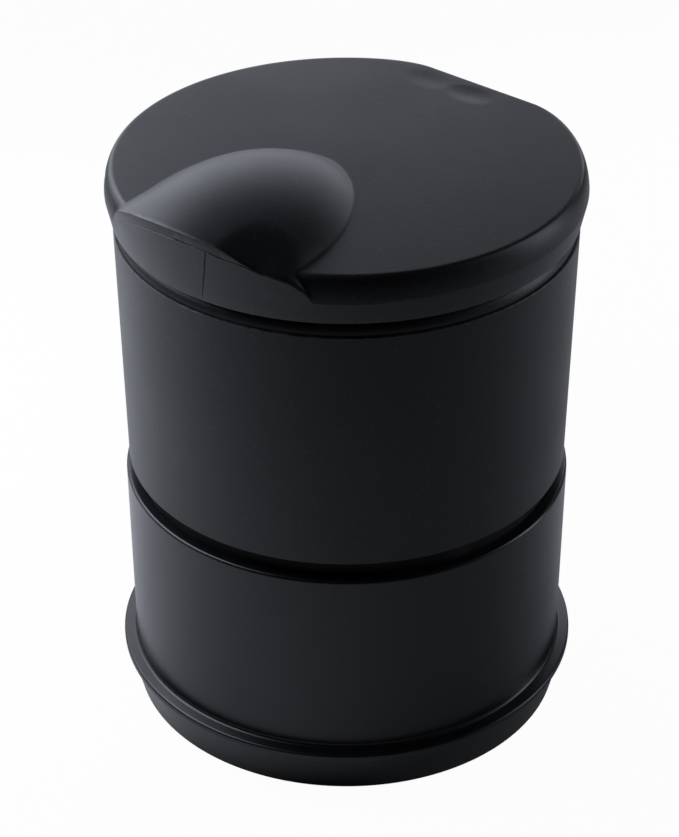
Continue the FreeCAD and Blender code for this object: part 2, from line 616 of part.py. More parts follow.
def build_lid_liner():
    """Pressed steel heat shield with a turned-down rim, bored for its screws."""
    edge = f"({SEAL_TOP} + dims.liner_edge_gap)"
    inner = f"({LINER} - dims.liner_sheet)"
    under = f"({LINER_TOP} - dims.liner_sheet)"
    dish = turned_body("liner_dish", [
        ("0", under),
        (inner, under),
        (inner, edge),
        (LINER, edge),
        (LINER, LINER_TOP),
        ("0", LINER_TOP),
    ])
    holes = []
    radius = "dims.screw_radius + dims.fit_gap"
    for number, corner in enumerate(CORNERS, start=1):
        x, y = screw_place(*corner)
        low = f"{under} - dims.liner_sheet"
        holes.append(rod(f"liner_hole_{number}", radius, "3 * dims.liner_sheet", x, y, low))
    return cut("lid_liner", dish, fuse("liner_holes", *holes))


def build_lid_screws():
    """Slotted screws that clamp the liner to the bosses."""
    under = f"({LINER_TOP} - dims.liner_sheet)"
    head_low = f"({under} - dims.screw_head_height)"
    screws = []
    for number, corner in enumerate(CORNERS, start=1):
        x, y = screw_place(*corner)
        length = "dims.liner_sheet + dims.screw_bite"
        shank = rod(f"screw_shank_{number}", "dims.screw_radius", length, x, y, under)
        head = rod(f"screw_head_{number}", "dims.screw_head_radius", "dims.screw_head_height", x, y,
                   head_low)
        slot_x = f"{x} - dims.screw_head_radius"
        slot_y = f"{y} - dims.screw_slot_width / 2"
        slot = box(f"screw_slot_{number}", slot_x, slot_y, head_low, "2 * dims.screw_head_radius",
                   "dims.screw_slot_width", "dims.screw_slot_depth")
        screws.append(cut(f"screw_{number}", fuse(f"screw_blank_{number}", shank, head), slot))
    group = doc.addObject("Part::Compound", "lid_screws")
    group.Links = screws
    return group


BUILDERS = {
    "lower_cup": build_lower_cup,
    "base_pad": build_base_pad,
    "anti_rattle_ring": build_anti_rattle_ring,
    "upper_body": build_upper_body,
    "collar": build_collar,
    "ash_bowl": build_ash_bowl,
    "bowl_seal": build_bowl_seal,
    "cigarette_rest": build_cigarette_rest,
    "hinge_pin": build_hinge_pin,
    "hinge_spring": build_hinge_spring,
    "lid": build_lid,
    "lid_liner": build_lid_liner,
    "lid_screws": build_lid_screws,
}


def export(pieces):
    """Stops at any failed object or bad shape, then writes one file for each piece."""
    for item in doc.Objects:
        if "Invalid" in item.State or "Error" in item.State:
            raise RuntimeError(f"{item.Name} failed: {item.State}")
    for label, item in pieces.items():
        if item.Shape.isNull() or not item.Shape.isValid() or not item.Shape.Solids:
            raise RuntimeError(f"{label} has no valid solid")
    os.makedirs("parts", exist_ok=True)
    for label, item in pieces.items():
        item.Shape.exportStep(os.path.join("parts", f"{label}.step"))
        print(label, len(item.Shape.Solids), "solids", round(item.Shape.Volume, 2), "mm3")


def main():
    """Builds every piece in order and writes them out."""
    fill_sheet()
    pieces = {}
    for label, builder in BUILDERS.items():
        pieces[label] = builder()
        pieces[label].Label = label
    doc.recompute()
    export(pieces)


main()
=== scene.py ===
"""Looks of a cup-holder ashtray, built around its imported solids.

Sizes are in millimetres unless a name says otherwise.
"""

import logging
import math
from dataclasses import dataclass
from enum import Enum
from typing import Callable, ClassVar, Sequence

import bmesh
import bpy
import numpy as np
from mathutils import Euler, Matrix, Vector


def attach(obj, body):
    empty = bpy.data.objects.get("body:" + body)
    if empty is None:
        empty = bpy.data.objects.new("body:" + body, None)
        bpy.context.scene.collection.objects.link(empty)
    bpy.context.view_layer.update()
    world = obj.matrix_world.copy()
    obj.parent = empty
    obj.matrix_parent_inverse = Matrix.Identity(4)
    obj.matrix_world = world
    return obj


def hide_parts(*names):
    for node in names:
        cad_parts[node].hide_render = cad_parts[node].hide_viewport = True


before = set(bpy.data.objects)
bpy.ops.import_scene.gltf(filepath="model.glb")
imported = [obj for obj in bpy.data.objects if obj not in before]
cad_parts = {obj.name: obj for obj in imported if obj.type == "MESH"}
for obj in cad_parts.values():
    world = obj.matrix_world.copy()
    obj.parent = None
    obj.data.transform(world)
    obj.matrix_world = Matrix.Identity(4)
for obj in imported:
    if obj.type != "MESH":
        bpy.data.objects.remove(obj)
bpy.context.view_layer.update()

LOG = logging.getLogger("ashtray")
MM = 0.001
FULL_TURN = 2.0 * math.pi
QUARTER_TURN = math.pi / 2.0
SEGMENTS = 192
SMALL_SEGMENTS = 48
ROUND_STEPS = 6
ROUND_GUARD = 0.12
BEVEL_STEPS = 3
ROUND_BEVEL = 0.5
SAME_PLACE = 1e-4
THIN_EDGE = 1e-5
SHARP_ANGLE = math.radians(40)
# Point value that holds the highlights painted on edges; it lightens the plastic's colour.
PAINTED_HIGHLIGHT = "painted_highlight"

Point = tuple[float, float]
Place = tuple[float, float, float]
Colour = tuple[float, float, float]
Socket = bpy.types.NodeSocket


class Body(Enum):
    """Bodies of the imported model."""

    BASE = "base"
    LID = "lid"


class Slot(Enum):
    """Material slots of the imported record."""

    GRAINED = "grained_plastic"
    SATIN = "satin_plastic"
    RUBBER = "black_rubber"
    BOWL_STEEL = "bowl_steel"
    BRIGHT_STEEL = "bright_steel"


class Axis(Enum):
    """Turns from the Z axis to the axis of a turned form."""

    Z = Matrix.Identity(4)
    X = Matrix.Rotation(QUARTER_TURN, 4, "Y")


class Join(Enum):
    """Ways to put two values together in a node tree."""

    PRODUCT = "MULTIPLY"
    LARGER = "MAXIMUM"


class Entry(Enum):
    """Kinds of input of a geometry node tree."""

    NUMBER = "NodeSocketFloat"
    COUNT = "NodeSocketInt"
    FINISH = "NodeSocketMaterial"
    SHAPE = "NodeSocketObject"


class Stretch(Enum):
    """Stretches of the lid's profile, from its top's middle round its foot to its ceiling's middle."""

    FLAT = "flat"
    CROWN = "crown"
    EDGE = "edge"
    SKIRT = "skirt"
    FOOT = "foot"
    INNER = "inner"
    CEILING = "ceiling"


@dataclass(frozen=True)
class Corner:
    """Corner of a turned outline, and the radius that rounds it."""

    radius: float
    height: float
    rounding: float = 0.0

    @property
    def place(self) -> Vector:
        """The corner before it is rounded."""
        return Vector((self.radius, self.height))


def soft_step(low: float, high: float, value: float) -> float:
    """Rises smoothly from 0 at low to 1 at high.

    Args:
        low: value at which the rise starts.
        high: value at which it ends.
        value: where it is read.

    Returns:
        The share of the rise, from 0 to 1.
    """
    share = min(max((value - low) / (high - low), 0.0), 1.0)
    return share * share * (3.0 - 2.0 * share)


def soft_max(first: float, second: float, blend: float) -> float:
    """Gives the larger value, with a fillet where both are near.

    Args:
        first: one height.
        second: the other height.
        blend: difference of height within which the fillet lies.

    Returns:
        The blended height.
    """
    near = max(blend - abs(first - second), 0.0) / blend
    return max(first, second) + near * near * blend / 4.0


def between(first: Sequence[float], last: Sequence[float], shares: Sequence[float]) -> list[Point]:
    """Gives the points at some shares of the way between two points."""
    return [tuple(Vector(first).lerp(Vector(last), share)) for share in shares]


def rounded_outline(corners: Sequence[Corner], closed: bool, steps: int = ROUND_STEPS,
                    guard: float = ROUND_GUARD) -> list[Point]:
    """Rounds the corners of an outline and sets a point beside each round, so that flat faces shade flat.

    Args:
        corners: corners in order, as radius and height.
        closed: whether the last corner joins the first.
        steps: flats in a round.
        guard: distance of the point beside a round.

    Returns:
        Points of the outline, as radius and height.
    """
    points: list[Point] = []
    count = len(corners)
    for index, corner in enumerate(corners):
        here = corner.place
        at_end = not closed and index in (0, count - 1)
        if corner.rounding == 0.0 or at_end:
            points.append(tuple(here))
            continue
        back = (corners[index - 1].place - here).normalized()
        ahead = (corners[(index + 1) % count].place - here).normalized()
        half = back.angle(ahead) / 2.0
        reach = corner.rounding / math.tan(half)
        middle = here + (back + ahead).normalized() * (corner.rounding / math.sin(half))
        first = here + back * reach - middle
        last = here + ahead * reach - middle
        points.append(tuple(here + back * (reach + guard)))
        for step in range(steps + 1):
            turn = first.slerp(last, step / steps)
            points.append(tuple(middle + turn.normalized() * corner.rounding))
        points.append(tuple(here + ahead * (reach + guard)))
    return points


def round_points(steps: int) -> int:
    """Gives how many points a round has, with the points beside it."""
    return steps + 3


def placed(name: str, data: bpy.types.ID) -> bpy.types.Object:
    """Makes an object at the origin from a mesh, a lamp or a camera.

    Args:
        name: name of the object.
        data: what it shows.

    Returns:
        The object, linked to the scene.
    """
    thing = bpy.data.objects.new(name, data)
    bpy.context.scene.collection.objects.link(thing)
    return thing


def dress(thing: bpy.types.Object, material: bpy.types.Material) -> None:
    """Gives an object its only material."""
    thing.data.materials.clear()
    thing.data.materials.append(material)


def with_painted_highlight(thing: bpy.types.Object, rule: Callable[[np.ndarray], np.ndarray]) -> bpy.types.Object:
    """Stores on a piece's points where highlights are painted into the colour of its edges.

    Args:
        thing: the piece.
        rule: gives the painted highlight, from 0 to 1, for places in millimetres.

    Returns:
        The piece, with the painted highlight on its points.
    """
    mesh = thing.data
    places = np.empty(len(mesh.vertices) * 3)
    mesh.vertices.foreach_get("co", places)
    # Painted highlight: a point value that lightens the colour along edges.
    marks = mesh.attributes.new(PAINTED_HIGHLIGHT, "FLOAT", "POINT")
    marks.data.foreach_set("value", rule(places.reshape(-1, 3) / MM).astype(np.float32))
    return thing


class Form:
    """Gathers the closed surfaces of one piece and makes them a mesh object."""

    def __init__(self) -> None:
        """Starts with no surface."""
        self.work = bmesh.new()

    def grid(self, columns: np.ndarray, closed_rows: bool, closed_columns: bool = True) -> None:
        """Adds a surface of four-sided faces.

        Args:
            columns: places, as columns x rows x 3.
            closed_rows: whether each column is a loop.
            closed_columns: whether the last column joins the first.
        """
        count, rows, _ = columns.shape
        corners = [self.work.verts.new(place) for place in columns.reshape(-1, 3).tolist()]
        for column in range(count if closed_columns else count - 1):
            beside = (column + 1) % count
            for row in range(rows if closed_rows else rows - 1):
                above = (row + 1) % rows
                self.work.faces.new((
                    corners[column * rows + row], corners[beside * rows + row],
                    corners[beside * rows + above], corners[column * rows + above],
                ))

    def turned(self, corners: Sequence[Corner], axis: Axis = Axis.Z, middle: Place = (0.0, 0.0, 0.0),
               segments: int = SEGMENTS, steps: int = ROUND_STEPS, guard: float = ROUND_GUARD) -> "Form":
        """Adds an outline turned about an axis. One that starts on the axis ends there; any other is a loop.

        Args:
            corners: corners as radius and height along the axis.
            axis: direction of the axis.
            middle: a place on the axis, from which heights count.
            segments: flats round the axis.
            steps: flats in the round of a corner.
            guard: distance of the point beside a round.

        Returns:
            The form itself.
        """
        closed = corners[0].radius > 0.0
        ring = np.array(rounded_outline(corners, closed, steps, guard), float)
        angles = np.linspace(0.0, FULL_TURN, segments, endpoint=False)
        places = np.empty((segments, len(ring), 3))
        places[..., 0] = np.cos(angles)[:, None] * ring[None, :, 0]
        places[..., 1] = np.sin(angles)[:, None] * ring[None, :, 0]
        places[..., 2] = ring[None, :, 1]
        turn = np.array(axis.value.to_3x3())
        self.grid(places @ turn.T + np.array(middle, float), closed)
        return self

    def block(self, low: Place, high: Place, bevel: float) -> None:
        """Adds a block with rounded edges.

        Args:
            low: its lowest corner.
            high: its highest corner.
            bevel: radius of its edges.
        """
        size = [top - bottom for bottom, top in zip(low, high)]
        middle = [(top + bottom) / 2.0 for bottom, top in zip(low, high)]
        shape = Matrix.Translation(middle) @ Matrix.Diagonal((*size, 1.0))
        made = bmesh.ops.create_cube(self.work, size=1.0, matrix=shape)
        edges = {edge for corner in made["verts"] for edge in corner.link_edges}
        bmesh.ops.bevel(self.work, geom=list(edges), offset=bevel, segments=BEVEL_STEPS, profile=ROUND_BEVEL,
                        affect="EDGES")

    def made(self, name: str) -> bpy.types.Object:
        """Merges doubles, turns faces outwards and makes the object, in metres.

        Args:
            name: name of the piece.

        Returns:
            The object, at the origin.
        """
        bmesh.ops.remove_doubles(self.work, verts=self.work.verts, dist=SAME_PLACE)
        bmesh.ops.dissolve_degenerate(self.work, edges=self.work.edges, dist=THIN_EDGE)
        bmesh.ops.recalc_face_normals(self.work, faces=self.work.faces)
        bmesh.ops.scale(self.work, vec=(MM, MM, MM), verts=self.work.verts)
        mesh = bpy.data.meshes.new(name)
        self.work.to_mesh(mesh)
        self.work.free()
        mesh.shade_smooth()
        mesh.set_sharp_from_angle(angle=SHARP_ANGLE)
        return placed(name, mesh)


def typed(sockets: Sequence[Socket], name: str, kind: str) -> Socket:
    """Finds the socket of a kind among those that share a name."""
    return next(item for item in sockets if item.name == name and item.type == kind)


class Wiring:
    """Node tree that is put together node by node."""

    def __init__(self, tree: bpy.types.NodeTree) -> None:
        """Takes the tree to work on."""
        self.tree = tree

    def put(self, target: Socket, value: object) -> None:
        """Links a socket to an input, or sets a plain value on it.

        Args:
            target: the input.
            value: socket or plain value.
        """
        if isinstance(value, Socket):
            self.tree.links.new(value, target)
        else:
            target.default_value = value

    def feed(self, node: bpy.types.Node, **inputs: object) -> None:
        """Links or sets inputs of a node; their names have underscores for spaces."""
        for name, value in inputs.items():
            self.put(node.inputs[name.replace("_", " ")], value)

    def node(self, kind: str, **inputs: object) -> bpy.types.Node:
        """Adds a node.

        Args:
            kind: type of the node.
            **inputs: sockets and values for its inputs.

        Returns:
            The node.
        """
        made = self.tree.nodes.new(kind)
        self.feed(made, **inputs)
        return made

    def joined(self, way: Join, first: Socket | float, second: Socket | float) -> Socket:
        """Puts two values together.

        Args:
            way: how.
            first: one value.
            second: the other value.

        Returns:
            The socket of the result.
        """
        node = self.node("ShaderNodeMath")
        node.operation = way.value
        self.put(node.inputs[0], first)
        self.put(node.inputs[1], second)
        return node.outputs["Value"]

    def end_white(self, end: str, share: Socket, plain: Socket, white: Socket) -> None:
        """Ends the tree in a mix of its plain surface and white.

        Args:
            end: name of the tree's last node.
            share: share of white.
            plain: the plain surface.
            white: the white surface.
        """
        both = self.node("ShaderNodeMixShader", Fac=share)
        self.put(both.inputs[1], plain)
        self.put(both.inputs[2], white)
        self.feed(self.tree.nodes[end], Surface=both.outputs["Shader"])


class Shader(Wiring):
    """Node material round a principled shader."""

    speck_core: ClassVar[float] = 0.5
    chance_edge: ClassVar[float] = 0.02

    def __init__(self, name: str) -> None:
        """Starts the material.

        Args:
            name: name of the material.
        """
        self.material = bpy.data.materials.new(name)
        self.material.use_nodes = True
        super().__init__(self.material.node_tree)
        self.surface = self.tree.nodes["Principled BSDF"]
        self.places = self.node("ShaderNodeTexCoord").outputs["Object"]

    def stretched(self, scale: Place) -> Socket:
        """Gives object coordinates with their own scale on each axis."""
        return self.node("ShaderNodeMapping", Vector=self.places, Scale=scale).outputs["Vector"]

    def noise(self, scale: float, detail: float, places: Socket | None = None) -> Socket:
        """Gives a noise on object coordinates, or on the places that are given."""
        return self.node("ShaderNodeTexNoise", Vector=places or self.places, Scale=scale, Detail=detail).outputs["Fac"]

    def span(self, source: Socket, low: float, high: float, start: float = 0.3, stop: float = 0.7) -> Socket:
        """Maps a factor to a span of values.

        Args:
            source: the factor.
            low: value at the start.
            high: value at the stop.
            start: factor at which the span starts.
            stop: factor at which it stops.

        Returns:
            The socket of the value.
        """
        node = self.node("ShaderNodeMapRange", Value=source, From_Min=start, From_Max=stop, To_Min=low, To_Max=high)
        return node.outputs["Result"]

    def mixed(self, share: Socket, first: Socket | Colour, second: Socket | Colour) -> Socket:
        """Mixes two colours.

        Args:
            share: share of the second colour.
            first: colour or socket at share 0.
            second: colour or socket at share 1.

        Returns:
            The socket of the mixed colour.
        """
        node = self.node("ShaderNodeMix")
        node.data_type = "RGBA"
        self.feed(node, Factor=share)
        for name, value in (("A", first), ("B", second)):
            colour = (*value, 1.0) if isinstance(value, tuple) else value
            self.put(typed(node.inputs, name, "RGBA"), colour)
        return typed(node.outputs, "Result", "RGBA")

    def specks(self, scale: float, size: float, share: float) -> Socket:
        """Gives scattered specks, one in some of the cells of a pattern.

        Args:
            scale: cells in a metre.
            size: radius of a speck, in cells.
            share: share of the cells that hold one.

        Returns:
            The socket of a mask that is 1 in a speck.
        """
        cells = self.node("ShaderNodeTexVoronoi", Vector=self.places, Scale=scale)
        near = self.span(cells.outputs["Distance"], 1.0, 0.0, size * self.speck_core, size)
        split = self.node("ShaderNodeSeparateColor", Color=cells.outputs["Color"])
        chosen = self.span(split.outputs["Red"], 0.0, 1.0, 1.0 - share, 1.0 - share + self.chance_edge)
        return self.joined(Join.PRODUCT, near, chosen)

    def mark(self, name: str) -> Socket:
        """Gives a value that the mesh carries on its points.

        Args:
            name: name of the value.

        Returns:
            The socket of the value.
        """
        node = self.node("ShaderNodeAttribute")
        node.attribute_name = name
        return node.outputs["Fac"]

    def bump(self, height: Socket, strength: float, depth: float) -> None:
        """Feeds a height from 0 to 1, of a depth in millimetres, to the shader's normal."""
        node = self.node("ShaderNodeBump", Height=height, Strength=strength, Distance=depth * MM)
        self.feed(self.surface, Normal=node.outputs["Normal"])


@dataclass(frozen=True)
class BlackPlastic:
    """Moulded black plastic with a fine grain, dust specks, a slight mottle and highlights painted on its edges."""

    deep: Colour
    pale: Colour
    smooth: float
    rough: float
    grain_scale: float
    grain_strength: float
    grain_depth: float
    speck_share: float
    gloss: float = 0.5
    grain_detail: float = 3.0
    speck_colour: Colour = (0.05, 0.052, 0.056)
    speck_scale: float = 1100.0
    speck_size: float = 0.16
    mottle_scale: float = 46.0
    mottle_detail: float = 5.0
    # Colour of the highlights painted on edges, and the noise that breaks them up.
    highlight_colour: Colour = (0.085, 0.088, 0.095)
    highlight_break_scale: float = 900.0
    highlight_break_detail: float = 2.0
    highlight_least: float = 0.25
    highlight_breaks: Point = (0.4, 0.6)

    def material(self, name: str) -> bpy.types.Material:
        """Makes the node material.

        Args:
            name: name of the material.

        Returns:
            The material.
        """
        shader = Shader(name)
        mottle = shader.noise(self.mottle_scale, self.mottle_detail)
        grain = shader.noise(self.grain_scale, self.grain_detail)
        body = shader.mixed(shader.span(grain, 0.0, 1.0), self.deep, self.pale)
        dust = shader.specks(self.speck_scale, self.speck_size, self.speck_share)
        dusty = shader.mixed(dust, body, self.speck_colour)
        # Painted highlight: the point value, broken up by noise, mixes the colour towards the highlight colour.
        breaks = shader.span(shader.noise(self.highlight_break_scale, self.highlight_break_detail), self.highlight_least, 1.0, *self.highlight_breaks)
        edge = shader.joined(Join.PRODUCT, shader.mark(PAINTED_HIGHLIGHT), breaks)
        shader.feed(
            shader.surface, Base_Color=shader.mixed(edge, dusty, self.highlight_colour),
            Roughness=shader.span(mottle, self.smooth, self.rough), Specular_IOR_Level=self.gloss,
        )
        shader.bump(grain, self.grain_strength, self.grain_depth)
        return shader.material


@dataclass(frozen=True)
class BlackRubber:
    """Soft black rubber with a dull, slightly dusty skin."""

    deep: Colour = (0.010, 0.010, 0.011)
    dusty: Colour = (0.030, 0.030, 0.031)
    smooth: float = 0.68
    rough: float = 0.86
    gloss: float = 0.3
    dust_scale: float = 160.0
    dust_detail: float = 6.0
    dust_span: Point = (0.45, 0.75)
    skin_scale: float = 2600.0
    skin_detail: float = 2.0
    skin_strength: float = 0.25
    skin_depth: float = 0.05

    def material(self, name: str) -> bpy.types.Material:
        """Makes the node material.

        Args:
            name: name of the material.

        Returns:
            The material.
        """
        shader = Shader(name)
        dust = shader.noise(self.dust_scale, self.dust_detail)
        skin = shader.noise(self.skin_scale, self.skin_detail)
        colour = shader.mixed(shader.span(dust, 0.0, 1.0, *self.dust_span), self.deep, self.dusty)
        shader.feed(
            shader.surface, Base_Color=colour, Roughness=shader.span(dust, self.smooth, self.rough),
            Specular_IOR_Level=self.gloss,
        )
        shader.bump(skin, self.skin_strength, self.skin_depth)
        return shader.material


@dataclass(frozen=True)
class TurnedSteel:
    """Bare steel with fine rings from its pressing, and faint stains."""

    bright: Colour
    stained: Colour
    smooth: float
    rough: float
    ring_stretch: Place = (30.0, 30.0, 2400.0)
    ring_detail: float = 2.0
    ring_strength: float = 0.12
    ring_depth: float = 0.02
    stain_scale: float = 70.0
    stain_detail: float = 6.0
    stain_span: Point = (0.45, 0.8)

    def material(self, name: str) -> bpy.types.Material:
        """Makes the node material.

        Args:
            name: name of the material.

        Returns:
            The material.
        """
        shader = Shader(name)
        rings = shader.noise(1.0, self.ring_detail, shader.stretched(self.ring_stretch))
        stain = shader.noise(self.stain_scale, self.stain_detail)
        colour = shader.mixed(shader.span(stain, 0.0, 1.0, *self.stain_span), self.bright, self.stained)
        shader.feed(
            shader.surface, Base_Color=colour, Roughness=shader.span(rings, self.smooth, self.rough), Metallic=1.0,
        )
        shader.bump(rings, self.ring_strength, self.ring_depth)
        return shader.material


FINISHES: dict[Slot, BlackPlastic | BlackRubber | TurnedSteel] = {
    Slot.GRAINED: BlackPlastic(
        deep=(0.0055, 0.0062, 0.0078), pale=(0.0105, 0.0115, 0.0135), smooth=0.40, rough=0.47,
        grain_scale=1700.0, grain_strength=0.3, grain_depth=0.06, speck_share=0.5,
    ),
    Slot.SATIN: BlackPlastic(
        deep=(0.0050, 0.0058, 0.0074), pale=(0.0080, 0.0090, 0.0108), smooth=0.27, rough=0.33,
        grain_scale=1900.0, grain_strength=0.08, grain_depth=0.04, speck_share=0.12,
    ),
    Slot.RUBBER: BlackRubber(),
    Slot.BOWL_STEEL: TurnedSteel(
        bright=(0.56, 0.56, 0.55), stained=(0.44, 0.43, 0.41), smooth=0.24, rough=0.38,
    ),
    Slot.BRIGHT_STEEL: TurnedSteel(
        bright=(0.62, 0.61, 0.59), stained=(0.52, 0.50, 0.48), smooth=0.16, rough=0.28,
    ),
}


class Weave(Wiring):
    """Geometry node tree with named inputs, and its way to a plain mesh."""

    def __init__(self, name: str) -> None:
        """Starts a tree that takes geometry.

        Args:
            name: name of the tree.
        """
        super().__init__(bpy.data.node_groups.new(name, "GeometryNodeTree"))
        for way in ("INPUT", "OUTPUT"):
            self.tree.interface.new_socket("Geometry", in_out=way, socket_type="NodeSocketGeometry")
        self.values: dict[str, object] = {}
        self.source = self.node("NodeGroupInput")
        self.target = self.node("NodeGroupOutput")

    def input(self, name: str, kind: Entry, value: object) -> Socket:
        """Adds a named input and its value.

        Args:
            name: name of the input.
            kind: what it takes.
            value: what the modifier gives it.

        Returns:
            The socket inside the tree.
        """
        item = self.tree.interface.new_socket(name, in_out="INPUT", socket_type=kind.value)
        self.values[item.identifier] = value
        return self.source.outputs[name]

    def close(self, geometry: Socket, material: Socket) -> None:
        """Ends the tree in real, smooth and dressed geometry.

        Args:
            geometry: what the tree made.
            material: the input that holds the finish.
        """
        real = self.node("GeometryNodeRealizeInstances", Geometry=geometry)
        smooth = self.node("GeometryNodeSetShadeSmooth", Geometry=real.outputs["Geometry"])
        dressed = self.node("GeometryNodeSetMaterial", Geometry=smooth.outputs["Geometry"], Material=material)
        self.feed(self.target, Geometry=dressed.outputs["Geometry"])

    def run(self, name: str, points: np.ndarray, edges: Sequence[tuple[int, int]]) -> bpy.types.Object:
        """Runs the tree on points and edges and keeps the result as a plain mesh.

        Args:
            name: name of the piece.
            points: places in metres.
            edges: pairs of points that form the path.

        Returns:
            The piece, at the origin.
        """
        seed = bpy.data.meshes.new(f"{name}_seed")
        seed.from_pydata(points.tolist(), list(edges), [])
        carrier = placed(f"{name}_carrier", seed)
        modifier = carrier.modifiers.new("weave", "NODES")
        modifier.node_group = self.tree
        for identifier, value in self.values.items():
            modifier[identifier] = value
        graph = bpy.context.evaluated_depsgraph_get()
        mesh = bpy.data.meshes.new_from_object(carrier.evaluated_get(graph))
        mesh.name = name
        carrier.modifiers.remove(modifier)
        bpy.data.objects.remove(carrier)
        mesh.set_sharp_from_angle(angle=SHARP_ANGLE)
        return placed(name, mesh)


@dataclass
class SubAssembly:
    """Pieces that are built together and move with one body."""

    finishes: dict[Slot, bpy.types.Material]
    body: ClassVar[Body] = Body.BASE

    def settle(self, thing: bpy.types.Object, slot: Slot, node: str) -> None:
        """Dresses a finished piece and puts it on the body, in place of its solid.

        Args:
            thing: the piece.
            slot: slot of its finish.
            node: solid that it stands for.
        """
        dress(thing, self.finishes[slot])
        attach(thing, self.body.value)
        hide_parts(node)
        LOG.info("%s: %d faces on %s", thing.name, len(thing.data.polygons), self.body.value)


@dataclass
class LowerCup(SubAssembly):
    """Cup with its flanged foot, the pad under it and the rubber ring in its rim."""

    foot_radius: float = 35.0
    foot_top_radius: float = 36.7
    pad_radius: float = 31.8
    pad_thickness: float = 2.0
    flange_radius: float = 37.3
    flange_low: float = 7.0
    flange_high: float = 8.1
    wall_low_radius: float = 35.2
    wall_low: float = 8.45
    rim_radius: float = 35.6
    rim: float = 40.75
    wall: float = 2.6
    floor: float = 4.0
    ring_inner: float = 32.5
    ring_outer: float = 33.6
    ring_low: float = 39.75
    ring_high: float = 43.5
    fit: float = 0.1

    def cup(self) -> None:
        """Builds the moulded cup."""
        rebate = self.ring_outer + self.fit
        form = Form().turned([
            Corner(0.0, self.pad_thickness),
            Corner(self.pad_radius, self.pad_thickness, 0.2),
            Corner(self.pad_radius, 0.0, 0.3),
            Corner(self.foot_radius, 0.0, 0.35),
            Corner(self.foot_top_radius, self.flange_low, 0.25),
            Corner(self.flange_radius, self.flange_low, 0.3),
            Corner(self.flange_radius, self.flange_high, 0.4),
            Corner(self.wall_low_radius, self.wall_low, 0.6),
            Corner(self.rim_radius, self.rim, 0.5),
            Corner(rebate, self.rim, 0.25),
            Corner(rebate, self.ring_low, 0.15),
            Corner(self.rim_radius - self.wall, self.ring_low, 0.15),
            Corner(self.wall_low_radius - self.wall, self.floor, 1.0),
            Corner(0.0, self.floor),
        ])
        self.settle(form.made("lower_cup_shell"), Slot.SATIN, "lower_cup")

    def pad(self) -> None:
        """Builds the rubber pad."""
        radius = self.pad_radius - self.fit
        form = Form().turned([
            Corner(0.0, 0.0),
            Corner(radius, 0.0, 0.4),
            Corner(radius, self.pad_thickness, 0.1),
            Corner(0.0, self.pad_thickness),
        ])
        self.settle(form.made("base_pad_sheet"), Slot.RUBBER, "base_pad")

    def ring(self) -> None:
        """Builds the ring that carries the ash unit."""
        form = Form().turned([
            Corner(self.ring_inner, self.ring_low, 0.2),
            Corner(self.ring_outer, self.ring_low, 0.2),
            Corner(self.ring_outer, self.ring_high, 0.3),
            Corner(self.ring_inner, self.ring_high, 0.2),
        ])
        self.settle(form.made("anti_rattle_band"), Slot.RUBBER, "anti_rattle_ring")

    def build(self) -> None:
        """Builds the three pieces."""
        self.cup()
        self.pad()
        self.ring()


@dataclass(frozen=True)
class HingeSizes:
    """Sizes that the collar, the lid and the hinge share."""

    axis_y: float = 33.6
    axis_z: float = 88.8
    pin_radius: float = 0.9
    eye_radius: float = 2.2
    eye_bore: float = 0.95
    ear_outer: float = 14.0
    ear_width: float = 3.6
    ear_low: float = 84.6
    knuckle_width: float = 7.0
    knuckle_starts: Point = (-10.0, -1.5)
    coil_start: float = 6.25
    coil_radius: float = 1.75
    coil_pitch: float = 0.85
    coil_turns: float = 3.5
    wire_radius: float = 0.35
    leg: float = 3.2


